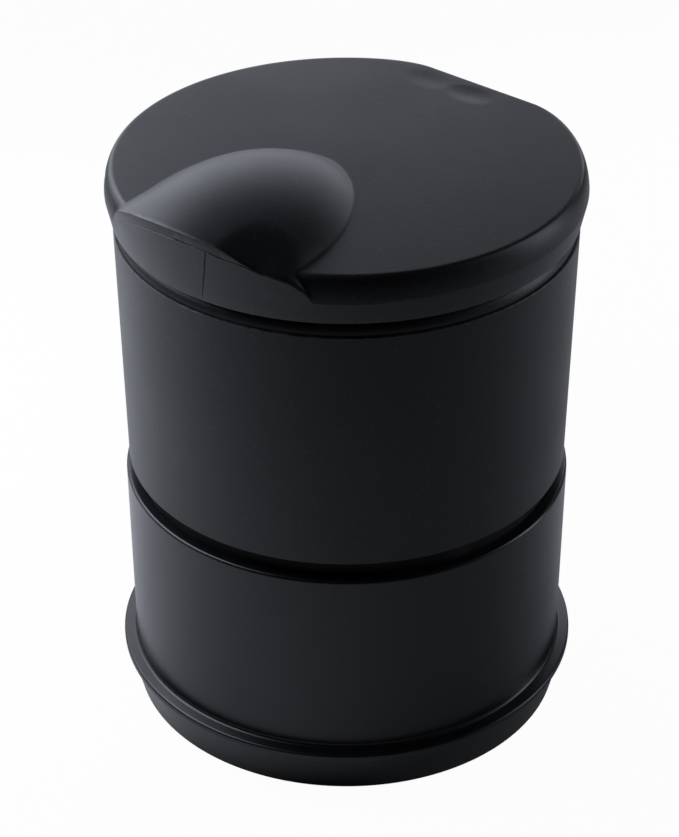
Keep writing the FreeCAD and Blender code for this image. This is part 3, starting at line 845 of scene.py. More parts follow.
@dataclass
class AshUnit(SubAssembly):
    """Tapered sleeve with its spigot, and the collar with the hinge ears."""

    hinge: HingeSizes
    spigot_bottom: float = 4.5
    spigot_radius: float = 32.0
    neck_radius: float = 32.4
    sleeve_low: float = 43.5
    sleeve_low_radius: float = 35.05
    sleeve_top: float = 84.0
    sleeve_top_radius: float = 35.9
    wall: float = 2.0
    # Strength, height and reach of the highlight painted along the sleeve's top edge.
    highlight_share: float = 0.6
    highlight_height: float = 0.2
    highlight_reach: float = 0.3
    collar_radius: float = 35.5
    collar_round: float = 1.9
    collar_top: float = 86.2
    collar_spigot: float = 33.8
    collar_spigot_low: float = 33.695
    collar_spigot_wall: float = 1.8
    collar_spigot_end: float = 79.0
    ledge_low: float = 82.9
    ledge_top: float = 84.7
    bore: float = 29.7
    seat: float = 31.3
    ear_edge: float = 0.3
    ear_ease: float = 0.3
    ear_columns: int = 96

    def sleeve(self) -> None:
        """Builds the sleeve with its shoulder and spigot."""
        shoulder = self.sleeve_low + self.wall
        form = Form().turned([
            Corner(0.0, self.spigot_bottom),
            Corner(self.spigot_radius, self.spigot_bottom, 1.0),
            Corner(self.neck_radius, self.sleeve_low, 0.2),
            Corner(self.sleeve_low_radius, self.sleeve_low, 0.35),
            Corner(self.sleeve_top_radius, self.sleeve_top, 0.15),
            Corner(self.sleeve_top_radius - self.wall, self.sleeve_top, 0.2),
            Corner(self.sleeve_low_radius - self.wall, shoulder, 0.5),
            Corner(self.neck_radius - self.wall, shoulder, 0.3),
            Corner(self.spigot_radius - self.wall, self.spigot_bottom + self.wall, 0.8),
            Corner(0.0, self.spigot_bottom + self.wall),
        ])
        # The sleeve's top edge carries a painted highlight.
        self.settle(with_painted_highlight(form.made("upper_body_sleeve"), self.sleeve_highlight), Slot.GRAINED, "upper_body")

    def sleeve_highlight(self, places: np.ndarray) -> np.ndarray:
        """Gives the painted highlight along the sleeve's outer top edge.

        Args:
            places: points in millimetres.

        Returns:
            The painted highlight of each point.
        """
        reach = np.hypot(places[:, 0], places[:, 1])
        high = places[:, 2] > self.sleeve_top - self.highlight_height
        # Painted highlight on the sleeve's outer top edge.
        return self.highlight_share * (high & (reach > self.sleeve_top_radius - self.highlight_reach))

    def ear(self, form: Form, start: float) -> None:
        """Adds an ear: an eye for the pin on a foot that runs down into the band.

        Args:
            form: form of the collar.
            start: lower X of the ear.
        """
        size = self.hinge
        drop = size.axis_z - size.ear_low
        end = start + size.ear_width
        edge, eased = self.ear_edge, self.ear_edge * self.ear_ease
        columns = []
        for angle in np.linspace(0.0, FULL_TURN, self.ear_columns, endpoint=False):
            across, up = math.cos(angle), math.sin(angle)
            reach = size.eye_radius
            if up < 0.0:
                reach = min(size.eye_radius / max(abs(across), SAME_PLACE), drop / max(-up, SAME_PLACE))
            side = [(0.0, size.eye_bore), (0.0, reach - edge), (eased, reach - eased), (edge, reach)]
            loop = [(start + x, r) for x, r in side] + [(end - x, r) for x, r in reversed(side)]
            columns.append([(x, size.axis_y + r * across, size.axis_z + r * up) for x, r in loop])
        form.grid(np.array(columns), closed_rows=True)

    def collar(self) -> None:
        """Builds the collar's ring and its ears."""
        inner = self.collar_spigot_low - self.collar_spigot_wall
        form = Form().turned([
            Corner(self.bore, self.ledge_low, 0.2),
            Corner(inner, self.ledge_low, 0.2),
            Corner(inner, self.collar_spigot_end, 0.3),
            Corner(self.collar_spigot_low, self.collar_spigot_end, 0.3),
            Corner(self.collar_spigot, self.sleeve_top, 0.1),
            Corner(self.collar_radius, self.sleeve_top, 0.1),
            Corner(self.collar_radius, self.collar_top, self.collar_round),
            Corner(self.seat, self.collar_top, 0.3),
            Corner(self.seat, self.ledge_top, 0.15),
            Corner(self.bore, self.ledge_top, 0.2),
        ])
        for start in (-self.hinge.ear_outer, self.hinge.ear_outer - self.hinge.ear_width):
            self.ear(form, start)
        self.settle(form.made("collar_ring"), Slot.GRAINED, "collar")

    def build(self) -> None:
        """Builds both pieces."""
        self.sleeve()
        self.collar()


@dataclass
class BowlSet(SubAssembly):
    """Steel bowl, its rubber seal and the cigarette rest on its wall."""

    foot: float = 7.7
    foot_radius: float = 28.8
    foot_round: float = 4.0
    foot_steps: int = 8
    mouth_radius: float = 29.6
    rim_radius: float = 31.2
    rim_low: float = 84.7
    sheet: float = 0.6
    seal_top: float = 86.45
    rest_half_width: float = 7.5
    rest_front: float = 18.87
    rest_back_radius: float = 28.87
    rest_lean: float = 0.0104
    rest_top: float = 81.7
    rest_leg: float = 14.0
    rest_sheet: float = 0.8
    rest_bend: float = 1.4
    rest_edge: float = 0.12
    rest_edge_steps: int = 2
    shelf_rows: int = 9
    bend_rows: int = 7
    leg_rows: int = 8
    side_columns: int = 7
    notch_columns: int = 33
    notch_radius: float = 4.5

    def bowl(self) -> None:
        """Builds the pressed bowl with its turned-out rim."""
        rim_top = self.rim_low + self.sheet
        form = Form().turned([
            Corner(0.0, self.foot),
            Corner(self.foot_radius, self.foot, self.foot_round),
            Corner(self.mouth_radius, self.rim_low, 0.15),
            Corner(self.rim_radius, self.rim_low, 0.25),
            Corner(self.rim_radius, rim_top, 0.25),
            Corner(self.mouth_radius - self.sheet, rim_top, 0.6),
            Corner(self.foot_radius - self.sheet, self.foot + self.sheet, self.foot_round - self.sheet),
            Corner(0.0, self.foot + self.sheet),
        ], steps=self.foot_steps)
        self.settle(form.made("ash_bowl_pressing"), Slot.BOWL_STEEL, "ash_bowl")

    def seal(self) -> None:
        """Builds the seal on the bowl's rim."""
        low = self.rim_low + self.sheet
        form = Form().turned([
            Corner(self.mouth_radius, low, 0.15),
            Corner(self.rim_radius, low, 0.15),
            Corner(self.rim_radius, self.seal_top, 0.4),
            Corner(self.mouth_radius, self.seal_top, 0.4),
        ])
        self.settle(form.made("bowl_seal_ring"), Slot.RUBBER, "bowl_seal")

    def rest_row(self, across: float) -> list[Place]:
        """Gives the middle of the bent sheet at one distance from its centre line.

        Args:
            across: X of the row.

        Returns:
            Places from the shelf's front edge, over the bend, to the leg's end.
        """
        half = self.rest_sheet / 2.0
        level = self.rest_top - half
        bend = self.rest_bend
        front = self.rest_front
        if abs(across) < self.notch_radius:
            front += math.sqrt(self.notch_radius ** 2 - across ** 2)
        back = math.sqrt((self.rest_back_radius - half) ** 2 - across ** 2)
        shares = np.linspace(0.0, 1.0, self.shelf_rows)
        row = [(across, front + (back - bend - front) * share, level) for share in shares]
        for angle in np.linspace(0.0, QUARTER_TURN, self.bend_rows)[1:]:
            row.append((across, back - bend * (1.0 - math.sin(angle)), level - bend * (1.0 - math.cos(angle))))
        for share in np.linspace(0.0, 1.0, self.leg_rows)[1:]:
            fall = share * (self.rest_leg - half - bend)
            row.append((across, back - self.rest_lean * fall, level - bend - fall))
        return row

    def rest(self) -> None:
        """Builds the bent rest with its round notch."""
        turns = np.linspace(-QUARTER_TURN, QUARTER_TURN, self.notch_columns)
        notch = [self.notch_radius * math.sin(angle) for angle in turns]
        side = list(np.linspace(self.notch_radius, self.rest_half_width, self.side_columns)[1:])
        places = [-x for x in reversed(side)] + notch + side
        form = Form()
        form.grid(np.array([self.rest_row(x) for x in places]), closed_rows=False, closed_columns=False)
        thing = form.made("cigarette_rest_bracket")
        solid = thing.modifiers.new("sheet", "SOLIDIFY")
        solid.thickness = self.rest_sheet * MM
        solid.offset = 0.0
        edge = thing.modifiers.new("edge", "BEVEL")
        edge.width = self.rest_edge * MM
        edge.segments = self.rest_edge_steps
        edge.limit_method = "ANGLE"
        self.settle(thing, Slot.BOWL_STEEL, "cigarette_rest")

    def build(self) -> None:
        """Builds the three pieces."""
        self.bowl()
        self.seal()
        self.rest()


@dataclass
class Hinge(SubAssembly):
    """Pin through the ears, and the closing spring that is wound round it."""

    size: HingeSizes
    pin_dome: float = 0.25
    coil_points: int = 40
    wire_sides: int = 14

    def pin(self) -> None:
        """Builds the pin with its rounded ends."""
        size = self.size
        form = Form().turned([
            Corner(0.0, -size.ear_outer),
            Corner(size.pin_radius, -size.ear_outer, self.pin_dome),
            Corner(size.pin_radius, size.ear_outer, self.pin_dome),
            Corner(0.0, size.ear_outer),
        ], Axis.X, (0.0, size.axis_y, size.axis_z), SMALL_SEGMENTS)
        self.settle(form.made("hinge_pin_rod"), Slot.BRIGHT_STEEL, "hinge_pin")

    def wire_path(self) -> np.ndarray:
        """Gives the wire's middle line: lower leg, coil, upper leg.

        Returns:
            Places in metres.
        """
        size = self.size
        middle = np.array((size.coil_start, size.axis_y, size.axis_z))
        advance = size.coil_pitch / FULL_TURN
        turns = np.linspace(0.0, FULL_TURN * size.coil_turns, round(self.coil_points * size.coil_turns) + 1)
        coil = np.stack([advance * turns, size.coil_radius * np.sin(turns), -size.coil_radius * np.cos(turns)], axis=1)
        way = np.array((advance, size.coil_radius, 0.0))
        way /= np.linalg.norm(way)
        lower = coil[0] - way * size.leg
        upper = coil[-1] + way * np.array((1.0, -1.0, 1.0)) * size.leg
        return (np.vstack([lower, coil, upper]) + middle) * MM

    def spring(self) -> None:
        """Sweeps a round wire along the spring's path in a node tree."""
        weave = Weave("spring_wire")
        radius = weave.input("Wire radius", Entry.NUMBER, self.size.wire_radius * MM)
        sides = weave.input("Wire sides", Entry.COUNT, self.wire_sides)
        coat = weave.input("Finish", Entry.FINISH, self.finishes[Slot.BRIGHT_STEEL])
        path = weave.node("GeometryNodeMeshToCurve", Mesh=weave.source.outputs["Geometry"])
        section = weave.node("GeometryNodeCurvePrimitiveCircle", Radius=radius, Resolution=sides)
        wire = weave.node("GeometryNodeCurveToMesh", Curve=path.outputs["Curve"],
                          Profile_Curve=section.outputs["Curve"], Fill_Caps=True)
        weave.close(wire.outputs["Mesh"], coat)
        points = self.wire_path()
        edges = [(index, index + 1) for index in range(len(points) - 1)]
        self.settle(weave.run("hinge_spring_coil", points, edges), Slot.BRIGHT_STEEL, "hinge_spring")

    def build(self) -> None:
        """Builds both pieces."""
        self.pin()
        self.spring()


@dataclass(frozen=True)
class ThumbLift:
    """Dome that rises out of the lid's flat top; its middle line runs a little askew, as in the moulding."""

    middle_y: float = -26.0
    middle_z: float = 89.1
    half_width: float = 18.8
    spread: float = 1.0
    spread_run: Point = (26.0, 34.0)
    half_length: float = 27.7
    half_height: float = 10.35
    crease: float = 0.2
    askew_back: float = -3.2
    askew_front: float = 0.9
    askew_run: float = 34.0
    fall: float = 1.6
    fall_rise: Point = (7.0, 14.0)
    fall_end: Point = (12.0, 21.0)
    fall_along: Point = (27.0, 37.0)

    def height(self, x: float, y: float) -> float:
        """Gives the height of the dome above the table.

        Args:
            x: place across.
            y: place from front to back.

        Returns:
            The height in millimetres; outside the dome it falls away.
        """
        askew = self.askew_back + (self.askew_front - self.askew_back) * soft_step(0.0, self.askew_run, -y)
        half = self.half_width + self.spread * soft_step(*self.spread_run, -y)
        off = ((x - askew) / half) ** 2 + ((y - self.middle_y) / self.half_length) ** 2
        if off >= 1.0:
            return self.middle_z - self.half_height * (off - 1.0)
        across = soft_step(*self.fall_rise, x) * (1.0 - soft_step(*self.fall_end, x))
        fall = across * soft_step(*self.fall_along, -y)
        return self.middle_z + self.half_height * math.sqrt(1.0 - off) - self.fall * fall


@dataclass(frozen=True)
class SinkMark:
    """Shallow dip in the flat top, over a knuckle."""

    x: float
    depth: float
    y: float = 29.5
    half_length: float = 4.8
    half_width: float = 2.9
    softness: float = 1.6

    def drop(self, x: float, y: float) -> float:
        """Gives the depth of the dip at a place."""
        off = ((x - self.x) / self.half_length) ** 2 + ((y - self.y) / self.half_width) ** 2
        return self.depth * max(1.0 - off, 0.0) ** self.softness


@dataclass(frozen=True)
class LidHighlights:
    """How strongly highlights are painted on the lid's edges, how near a point lies to count, and how far in."""

    sweep: float = 36.0
    sweep_step: float = 0.5
    front_y: float = -25.0
    least_rise: float = 0.6
    lip: float = 0.9
    lip_near: float = 0.12
    lip_reach: float = 0.3
    lip_fade_x: float = -2.0
    lip_fade_run: float = 12.0
    line: float = 0.7
    line_near: float = 0.13
    line_reach: float = 0.45
    foot: float = 0.3
    foot_run: float = 2.2
    foot_reach: float = 0.2
    rim: float = 0.12
    rim_near: float = 0.22
    rim_reach: float = 0.3


@dataclass
class Lid(SubAssembly):
    """Lid: round shell with a raised thumb lift, a straight back edge and the hinge's knuckles below it."""

    hinge: HingeSizes
    body: ClassVar[Body] = Body.LID
    lift: ThumbLift = ThumbLift()
    marks: tuple[SinkMark, ...] = (SinkMark(-7.8, 0.09), SinkMark(0.7, 0.14))
    light: LidHighlights = LidHighlights()
    foot_radius: float = 36.15
    foot: float = 86.5
    foot_round: float = 0.25
    foot_steps: int = 2
    edge_radius: float = 37.0
    edge: float = 90.4
    edge_round: float = 1.6
    edge_steps: int = 5
    crown_radius: float = 36.3
    flat: float = 94.3
    shoulder_reach: float = 1.5
    shoulder_turn: float = 78.0
    shoulder_share: float = 0.86
    wall: float = 2.0
    chord: float = 33.6
    chord_fillet: float = 20.0
    chord_round: float = 0.5
    chord_guard: float = 0.6
    pocket_half: float = 14.4
    pocket_gap: float = 0.02
    pocket_lip: float = 0.5
    pocket_step: float = 0.7
    outer_zone: float = 33.0
    straight_zone: Point = (38.0, 60.0)
    lift_zone: Point = (39.0, 57.0)
    lip_tries: int = 12
    lip_run: float = 3.2
    lip_end: float = 0.55
    lip_rows: tuple[Point, ...] = ((0.40, 0.0), (0.16, 0.02), (0.04, 0.10), (0.0, 0.25))
    band: float = 1.75
    band_end: float = 0.3
    band_close: Point = (7.5, 12.5)
    band_step: float = 0.1
    band_rise: Point = (0.3, 1.8)
    line_rows: tuple[float, ...] = (-0.08, 0.0, 0.1, 0.3)
    nick_x: float = 1.45
    nick_half: float = 1.85
    nick_depth: float = 0.2
    nick_fade: Point = (0.4, 1.0)
    nick_wave: float = 5.0
    mould_line_x: float = 4.53
    mould_line_middle: float = 92.2
    mould_line_lean: float = 0.271
    mould_line_half: float = 0.1
    mould_line_depth: float = 0.14
    mould_line_zone: Point = (0.3, 2.6)
    mould_line_spread: float = 1.5
    mould_line_columns: int = 7
    front_columns: tuple[float, float, float] = (-46.0, 46.01, 0.46)
    side_columns: tuple[tuple[float, float, float], ...] = ((47.2, 148.0, 1.3), (148.4, 180.0, 0.6))
    column_gap: float = 0.09
    crown_rows: int = 10
    skirt_rows: tuple[float, ...] = (0.25, 0.5, 0.75)
    inner_rows: Point = (0.5, 1.0)
    hollow_rows: tuple[float, ...] = (0.4, 0.8, 1.0)
    web_low: float = 1.2
    web_edge: float = 0.2
    leg_gap: float = 0.1
    pad_gap: float = 0.05
    knuckle_steps: int = 4
    knuckle_segments: int = 64
    boss_places: tuple[Point, ...] = ((-25.0, -9.2), (25.0, -9.2), (25.0, 9.2), (-25.0, 9.2))
    boss_radius: float = 2.6
    boss_bore: float = 0.91
    boss_low: float = 90.7
    boss_steps: int = 3

    @property
    def lean(self) -> float:
        """Outward lean of the skirt, in millimetres for each millimetre of height."""
        return (self.edge_radius - self.foot_radius) / (self.edge - self.foot)

    @property
    def inside(self) -> float:
        """Height of the lid's ceiling."""
        return self.flat - self.wall

    @staticmethod
    def flat_rows() -> list[float]:
        """Gives the rows of the flat top, as shares of its radius."""
        return [*np.linspace(0.0, 0.5, 35)[:-1], *np.linspace(0.5, 1.0, 50)]

    @staticmethod
    def ceiling_rows() -> list[float]:
        """Gives the rows of the ceiling, as shares of its radius."""
        return list(np.linspace(0.97, 0.0, 24))

    def rows(self) -> dict[Stretch, range]:
        """Gives where each stretch of the profile lies in its rows.

        Returns:
            The rows of each stretch.
        """
        counts = (
            len(self.flat_rows()), self.crown_rows, round_points(self.edge_steps), len(self.skirt_rows),
            2 * round_points(self.foot_steps), 2 * len(self.inner_rows), len(self.ceiling_rows()),
        )
        found, start = {}, 0
        for stretch, count in zip(Stretch, counts):
            found[stretch] = range(start, start + count)
            start += count
        return found

    def columns(self) -> list[float]:
        """Gives the bearings of the mesh's columns from the front, close together where the form is fine.

        Returns:
            Bearings in degrees, in order.
        """
        even = list(np.arange(*self.front_columns))
        for span in self.side_columns:
            turns = np.arange(*span)
            even += [*turns, *-turns]
        spread = np.linspace(-self.mould_line_spread, self.mould_line_spread, self.mould_line_columns)
        front = self.mould_line_x + self.mould_line_half * spread
        fixed = [math.degrees(math.asin(x / self.edge_radius)) for x in front]
        for x in (self.pocket_half - self.pocket_gap, self.pocket_half + self.pocket_gap):
            bearing = 180.0 - math.degrees(math.atan2(x, self.chord))
            fixed += [bearing, -bearing]
        kept = [angle for angle in even if min(abs(angle - other) for other in fixed) > self.column_gap]
        return sorted(kept + fixed)

    def outline(self, off_back: float) -> Point:
        """Gives the lid's plan outline near its back.

        Args:
            off_back: bearing from the back, in degrees.

        Returns:
            The outline's radius, and the share of the straight edge in its profile.
        """
        fillet_y = self.chord - self.chord_fillet
        reach = self.edge_radius - self.chord_fillet
        fillet_x = math.sqrt(reach ** 2 - fillet_y ** 2)
        straight_end = math.degrees(math.atan2(fillet_x, self.chord))
        fillet_end = math.degrees(math.atan2(fillet_x, fillet_y))
        angle = math.radians(off_back)
        if off_back >= fillet_end:
            return self.edge_radius, 0.0
        if off_back <= straight_end:
            return self.chord / math.cos(angle), 1.0
        along = fillet_x * math.sin(angle) + fillet_y * math.cos(angle)
        radius = along + math.sqrt(self.chord_fillet ** 2 - reach ** 2 + along ** 2)
        return radius, 1.0 - soft_step(straight_end, fillet_end, off_back)

    def place(self, bearing: float, radius: float) -> Point:
        """Gives the plan place of a column at a radius; in front, columns run straight back from the edge.

        Args:
            bearing: bearing of the column from the front, in degrees.
            radius: distance from the middle.

        Returns:
            X and Y.
        """
        angle = math.radians(bearing)
        turned = soft_step(*self.straight_zone, abs(bearing))
        outer = max(radius, self.outer_zone)
        if turned == 1.0:
            return radius * math.sin(angle), -radius * math.cos(angle)
        x = math.sin(angle) * (self.edge_radius * (1.0 - turned) + outer * turned)
        y = -math.sqrt(outer ** 2 - x ** 2)
        return x * radius / outer, y * radius / outer

    def plain_profile(self) -> np.ndarray:
        """Gives the round lid's profile from the top's middle to the ceiling's middle.

        Returns:
            Its points, as radius and height.
        """
        flat_end = self.edge_radius - self.shoulder_reach
        end = math.radians(self.shoulder_turn)
        points: list[Point] = [(flat_end * share, self.flat) for share in self.flat_rows()]
        for share in np.linspace(0.0, self.shoulder_share, self.crown_rows + 1)[1:]:
            radius = flat_end + self.shoulder_reach * math.sin(end * share) / math.sin(end)
            points.append((radius, self.round_height(radius)))
        rim = rounded_outline([
            Corner(*Vector(points[-1])), Corner(self.edge_radius, self.edge, self.edge_round),
            Corner(self.foot_radius, self.foot),
        ], closed=False, steps=self.edge_steps)[1:-1]
        inner = (self.edge_radius - self.wall, self.edge)
        foot = rounded_outline([
            Corner(*rim[-1]), Corner(self.foot_radius, self.foot, self.foot_round),
            Corner(self.foot_radius - self.wall, self.foot, self.foot_round), Corner(*inner),
        ], closed=False, steps=self.foot_steps)[1:-1]
        corner = (self.crown_radius - self.wall, self.inside)
        points += rim + between(rim[-1], foot[0], self.skirt_rows) + foot
        points += between(foot[-1], inner, self.inner_rows) + between(inner, corner, self.inner_rows)
        points += [(corner[0] * share, self.inside) for share in self.ceiling_rows()]
        return np.array(points)

    def round_height(self, radius: float) -> float:
        """Gives the height of the round lid's top: flat in the middle, and falling along its shoulder.

        Args:
            radius: distance from the middle.

        Returns:
            The height above the table.
        """
        across = (radius - self.edge_radius) / self.shoulder_reach + 1.0
        if across <= 0.0:
            return self.flat
        end = math.radians(self.shoulder_turn)
        turn = math.asin(min(across * math.sin(end), math.sin(end)))
        return self.flat - (self.flat - self.edge) * (1.0 - math.cos(turn)) / (1.0 - math.cos(end))

    def top(self, x: float, y: float) -> float:
        """Gives the height of the lid's top with the lift and the sink marks.

        Args:
            x: place across.
            y: place from front to back.

        Returns:
            The height above the table.
        """
        base = self.round_height(math.hypot(x, y)) if y < 0.0 else self.flat
        height = soft_max(base, self.lift.height(x, y), self.lift.crease)
        return height - sum(mark.drop(x, y) for mark in self.marks)

    def lip(self, bearing: float, inset: float) -> Point:
        """Finds where the dome meets the skirt's taper, both set in by a wall.

        Args:
            bearing: bearing of the column.
            inset: thickness by which both are set in.

        Returns:
            Radius and height of the lip.
        """
        height = self.flat
        radius = self.edge_radius
        for _ in range(self.lip_tries):
            radius = self.edge_radius - inset + self.lean * (height - self.edge)
            height = max(self.lift.height(*self.place(bearing, radius)) - inset, self.edge - inset)
        return radius, height

    def band_depth(self, x: float) -> float:
        """Gives the depth of the band between the lip's edge and the line below it."""
        return self.band + (self.band_end - self.band) * soft_step(*self.band_close, x)

    def mould_line(self, x: float) -> float:
        """Gives the depth of the line that the mould's parting leaves on the lift's face."""
        return self.mould_line_depth * max(1.0 - abs(x - self.mould_line_x) / self.mould_line_half, 0.0)

    def leaning_place(self, bearing: float, radius: float, height: float) -> Point:
        """Gives the place of a point on the lift's face, where the columns lean with the mould line.

        Args:
            bearing: bearing of the column.
            radius: distance from the middle.
            height: height above the table.

        Returns:
            X and Y.
        """
        x, _ = self.place(bearing, radius)
        share = 1.0 - soft_step(*self.mould_line_zone, abs(x - self.mould_line_x))
        x += share * self.mould_line_lean * (height - self.mould_line_middle)
        return x, -math.sqrt(max(radius ** 2 - x ** 2, 0.0))

    def lift_profile(self, bearing: float, plain: np.ndarray) -> np.ndarray:
        """Gives the profile of a column through the thumb lift.

        Args:
            bearing: bearing of the column.
            plain: profile of the round lid.

        Returns:
            The profile, with as many points.
        """
        profile = plain.copy()
        rows = self.rows()
        edge = rows[Stretch.EDGE]
        radius, height = self.lip(bearing, 0.0)
        x = self.place(bearing, radius)[0]
        flat_end = radius - self.lip_run
        reaches = [flat_end * share for share in self.flat_rows()]
        reaches += list(np.linspace(flat_end, radius - self.lip_end, self.crown_rows + 1)[1:])
        for row, reach in enumerate(reaches):
            profile[row] = (reach, self.top(*self.place(bearing, reach)))
        band = self.band_depth(x)
        rise_low, rise_high = self.band_rise
        rise = soft_step(self.edge + rise_low, self.edge + rise_high, height)
        nick = 1.0 - soft_step(*self.nick_fade, abs(x - self.nick_x) / self.nick_half)
        step = self.band_step * rise
        notch = step + self.nick_depth * nick * rise * (0.5 + 0.5 * math.sin(self.nick_wave * x))
        for row, (back, drop) in zip(edge, self.lip_rows):
            level = self.top(*self.place(bearing, radius - back)) - drop
            profile[row] = (radius - back - step - self.lean * drop, level)
        insets = (step, notch, 0.0, 0.0)
        for row, below, inset in zip(edge[len(self.lip_rows):], self.line_rows, insets):
            drop = band + below
            profile[row] = (radius - self.lean * drop - inset, height - drop)
        low = plain[rows[Stretch.FOOT].start]
        high = profile[edge.stop - 1].copy()
        for row, share in zip(rows[Stretch.SKIRT], self.skirt_rows):
            profile[row] = high + (low - high) * share
        for row in range(edge.stop - 2, rows[Stretch.SKIRT].stop):
            profile[row, 0] -= self.mould_line(x)
        return profile

    def hollow(self, bearing: float, profile: np.ndarray) -> None:
        """Raises the ceiling of a column under the thumb lift.

        Args:
            bearing: bearing of the column.
            profile: profile of the column, which is changed.
        """
        rows = self.rows()
        inner_rows = rows[Stretch.INNER]
        radius, height = self.lip(bearing, self.wall)
        rise = height - self.inside
        if rise > 0.0:
            inner = profile[inner_rows.start].copy()
            corner = np.array((radius, height))
            share = soft_step(0.0, 1.0, rise)
            for row, reach in zip(inner_rows[1:], self.hollow_rows):
                profile[row] += (inner + (corner - inner) * reach - profile[row]) * share
        outer = profile[inner_rows.stop - 1, 0]
        for row, reach in zip(rows[Stretch.CEILING], self.ceiling_rows()):
            under = self.lift.height(*self.place(bearing, outer * reach)) - self.wall
            profile[row] = (outer * reach, max(self.inside, under))

    def back_profile(self, radius: float, straight: float, in_pocket: bool, plain: np.ndarray) -> np.ndarray:
        """Gives the profile of a column at the straight back edge.

        Args:
            radius: radius of the outline.
            straight: share of the straight edge's upright profile.
            in_pocket: whether the skirt is cut away for the hinge.
            plain: profile of the round lid.

        Returns:
            The profile, with as many points.
        """
        rows = self.rows()
        flat, crown_rows, edge, _, foot, inner, ceiling = (rows[stretch] for stretch in Stretch)
        shifted = plain.copy()
        flat_end = plain[flat.stop - 1, 0] - (self.edge_radius - radius)
        shifted[flat.stop:, 0] -= self.edge_radius - radius
        shifted[flat, 0] = flat_end * np.array(self.flat_rows())
        upright = shifted.copy()
        rounding = self.chord_round
        crown = [(flat_end + (radius - rounding - flat_end) * self.chord_guard, self.flat)]
        for turn in np.linspace(0.0, QUARTER_TURN, self.crown_rows - 1):
            crown.append((radius - rounding * (1.0 - math.sin(turn)), self.flat - rounding * (1.0 - math.cos(turn))))
        upright[crown_rows] = crown
        high = self.flat - rounding
        low = self.inside if in_pocket else self.foot
        for row in range(edge.start, foot.start):
            share = (row - edge.start + 1) / (foot.start - edge.start + 1)
            upright[row] = (radius, high + (low + self.foot_round - high) * share)
        sole = self.pocket_lip if in_pocket else self.wall
        upright[foot, 0] = np.linspace(radius, radius - sole, len(foot))
        upright[foot, 1] = low
        upright[foot.start, 1] = low + self.foot_round / 2.0
        if in_pocket:
            steps = range(1, len(inner) + 1)
            upright[inner] = [(radius - self.pocket_lip - self.pocket_step * step, low) for step in steps]
        else:
            upright[inner[:2], 0] = radius - self.wall
        upright[ceiling, 0] = upright[inner.stop - 1, 0] * np.array(self.ceiling_rows())
        shares = np.full((len(plain), 1), straight)
        if in_pocket:
            shares[edge.start:] = 1.0
        return shifted + (upright - shifted) * shares

    def shell(self, form: Form) -> None:
        """Adds the lid's shell, column by column.

        Args:
            form: form of the lid.
        """
        plain = self.plain_profile()
        rows = self.rows()
        leaning = range(rows[Stretch.EDGE].start + len(self.lip_rows), rows[Stretch.FOOT].stop)
        columns = []
        for bearing in self.columns():
            in_front = abs(bearing) < self.lift_zone[1]
            radius, straight = self.outline(180.0 - abs(bearing))
            profile = plain.copy()
            if radius < self.edge_radius:
                off = abs(radius * math.sin(math.radians(bearing)))
                profile = self.back_profile(radius, straight, off < self.pocket_half, plain)
            elif in_front:
                share = 1.0 - soft_step(*self.lift_zone, abs(bearing))
                profile += (self.lift_profile(bearing, plain) - plain) * share
                self.hollow(bearing, profile)
            for row in range(rows[Stretch.CROWN if in_front else Stretch.FLAT].stop):
                profile[row, 1] = self.top(*self.place(bearing, profile[row, 0]))
            places = [(*self.place(bearing, reach), height) for reach, height in profile]
            if abs(bearing) < self.lift_zone[0]:
                for row in leaning:
                    places[row] = (*self.leaning_place(bearing, *profile[row]), profile[row, 1])
            columns.append(places)
        form.grid(np.array(columns), closed_rows=False)

    def painted_highlight(self, places: np.ndarray) -> np.ndarray:
        """Gives the highlights painted on the lid's edges: the lip, the line below it and the skirt's edges.

        Args:
            places: points in millimetres.

        Returns:
            The painted highlight of each point.
        """
        light = self.light
        bearings = np.arange(-light.sweep, light.sweep, light.sweep_step)
        lips = np.array([self.lip(bearing, 0.0) for bearing in bearings])
        across = np.array([self.place(bearing, radius)[0] for bearing, (radius, _) in zip(bearings, lips)])
        x, y, z = places.T
        reach = np.hypot(x, y)
        lip_radius, lip_height = (np.interp(x, across, lips[:, item]) for item in (0, 1))
        bands = np.interp(x, across, [self.band_depth(item) for item in across])
        front = (y < light.front_y) & (lip_height > self.edge + light.least_rise)
        # Painted highlights on the lip's top edge and on the parting line below it.
        on_lip = front & (np.abs(z - lip_height) < light.lip_near) & (reach > lip_radius - light.lip_reach)
        on_line = front & (np.abs(z - lip_height + bands) < light.line_near) & (reach > lip_radius - light.line_reach)
        # Painted highlight: the skirt grows lighter towards its foot.
        on_foot = np.clip(1.0 - (z - self.foot) / light.foot_run, 0.0, 1.0) ** 2
        on_foot *= reach > self.foot_radius - light.foot_reach
        # Painted highlight along the rim's edge.
        on_rim = (np.abs(z - self.edge) < light.rim_near) & (reach > self.edge_radius - light.rim_reach)
        # The lip's painted highlight is strongest at the left and fades to the right.
        left = 1.0 - np.clip((x - light.lip_fade_x) / light.lip_fade_run, 0.0, 1.0)
        painted_edges = on_lip * light.lip * left + on_line * light.line + on_foot * light.foot + on_rim * light.rim
        return np.clip(painted_edges, 0.0, 1.0)

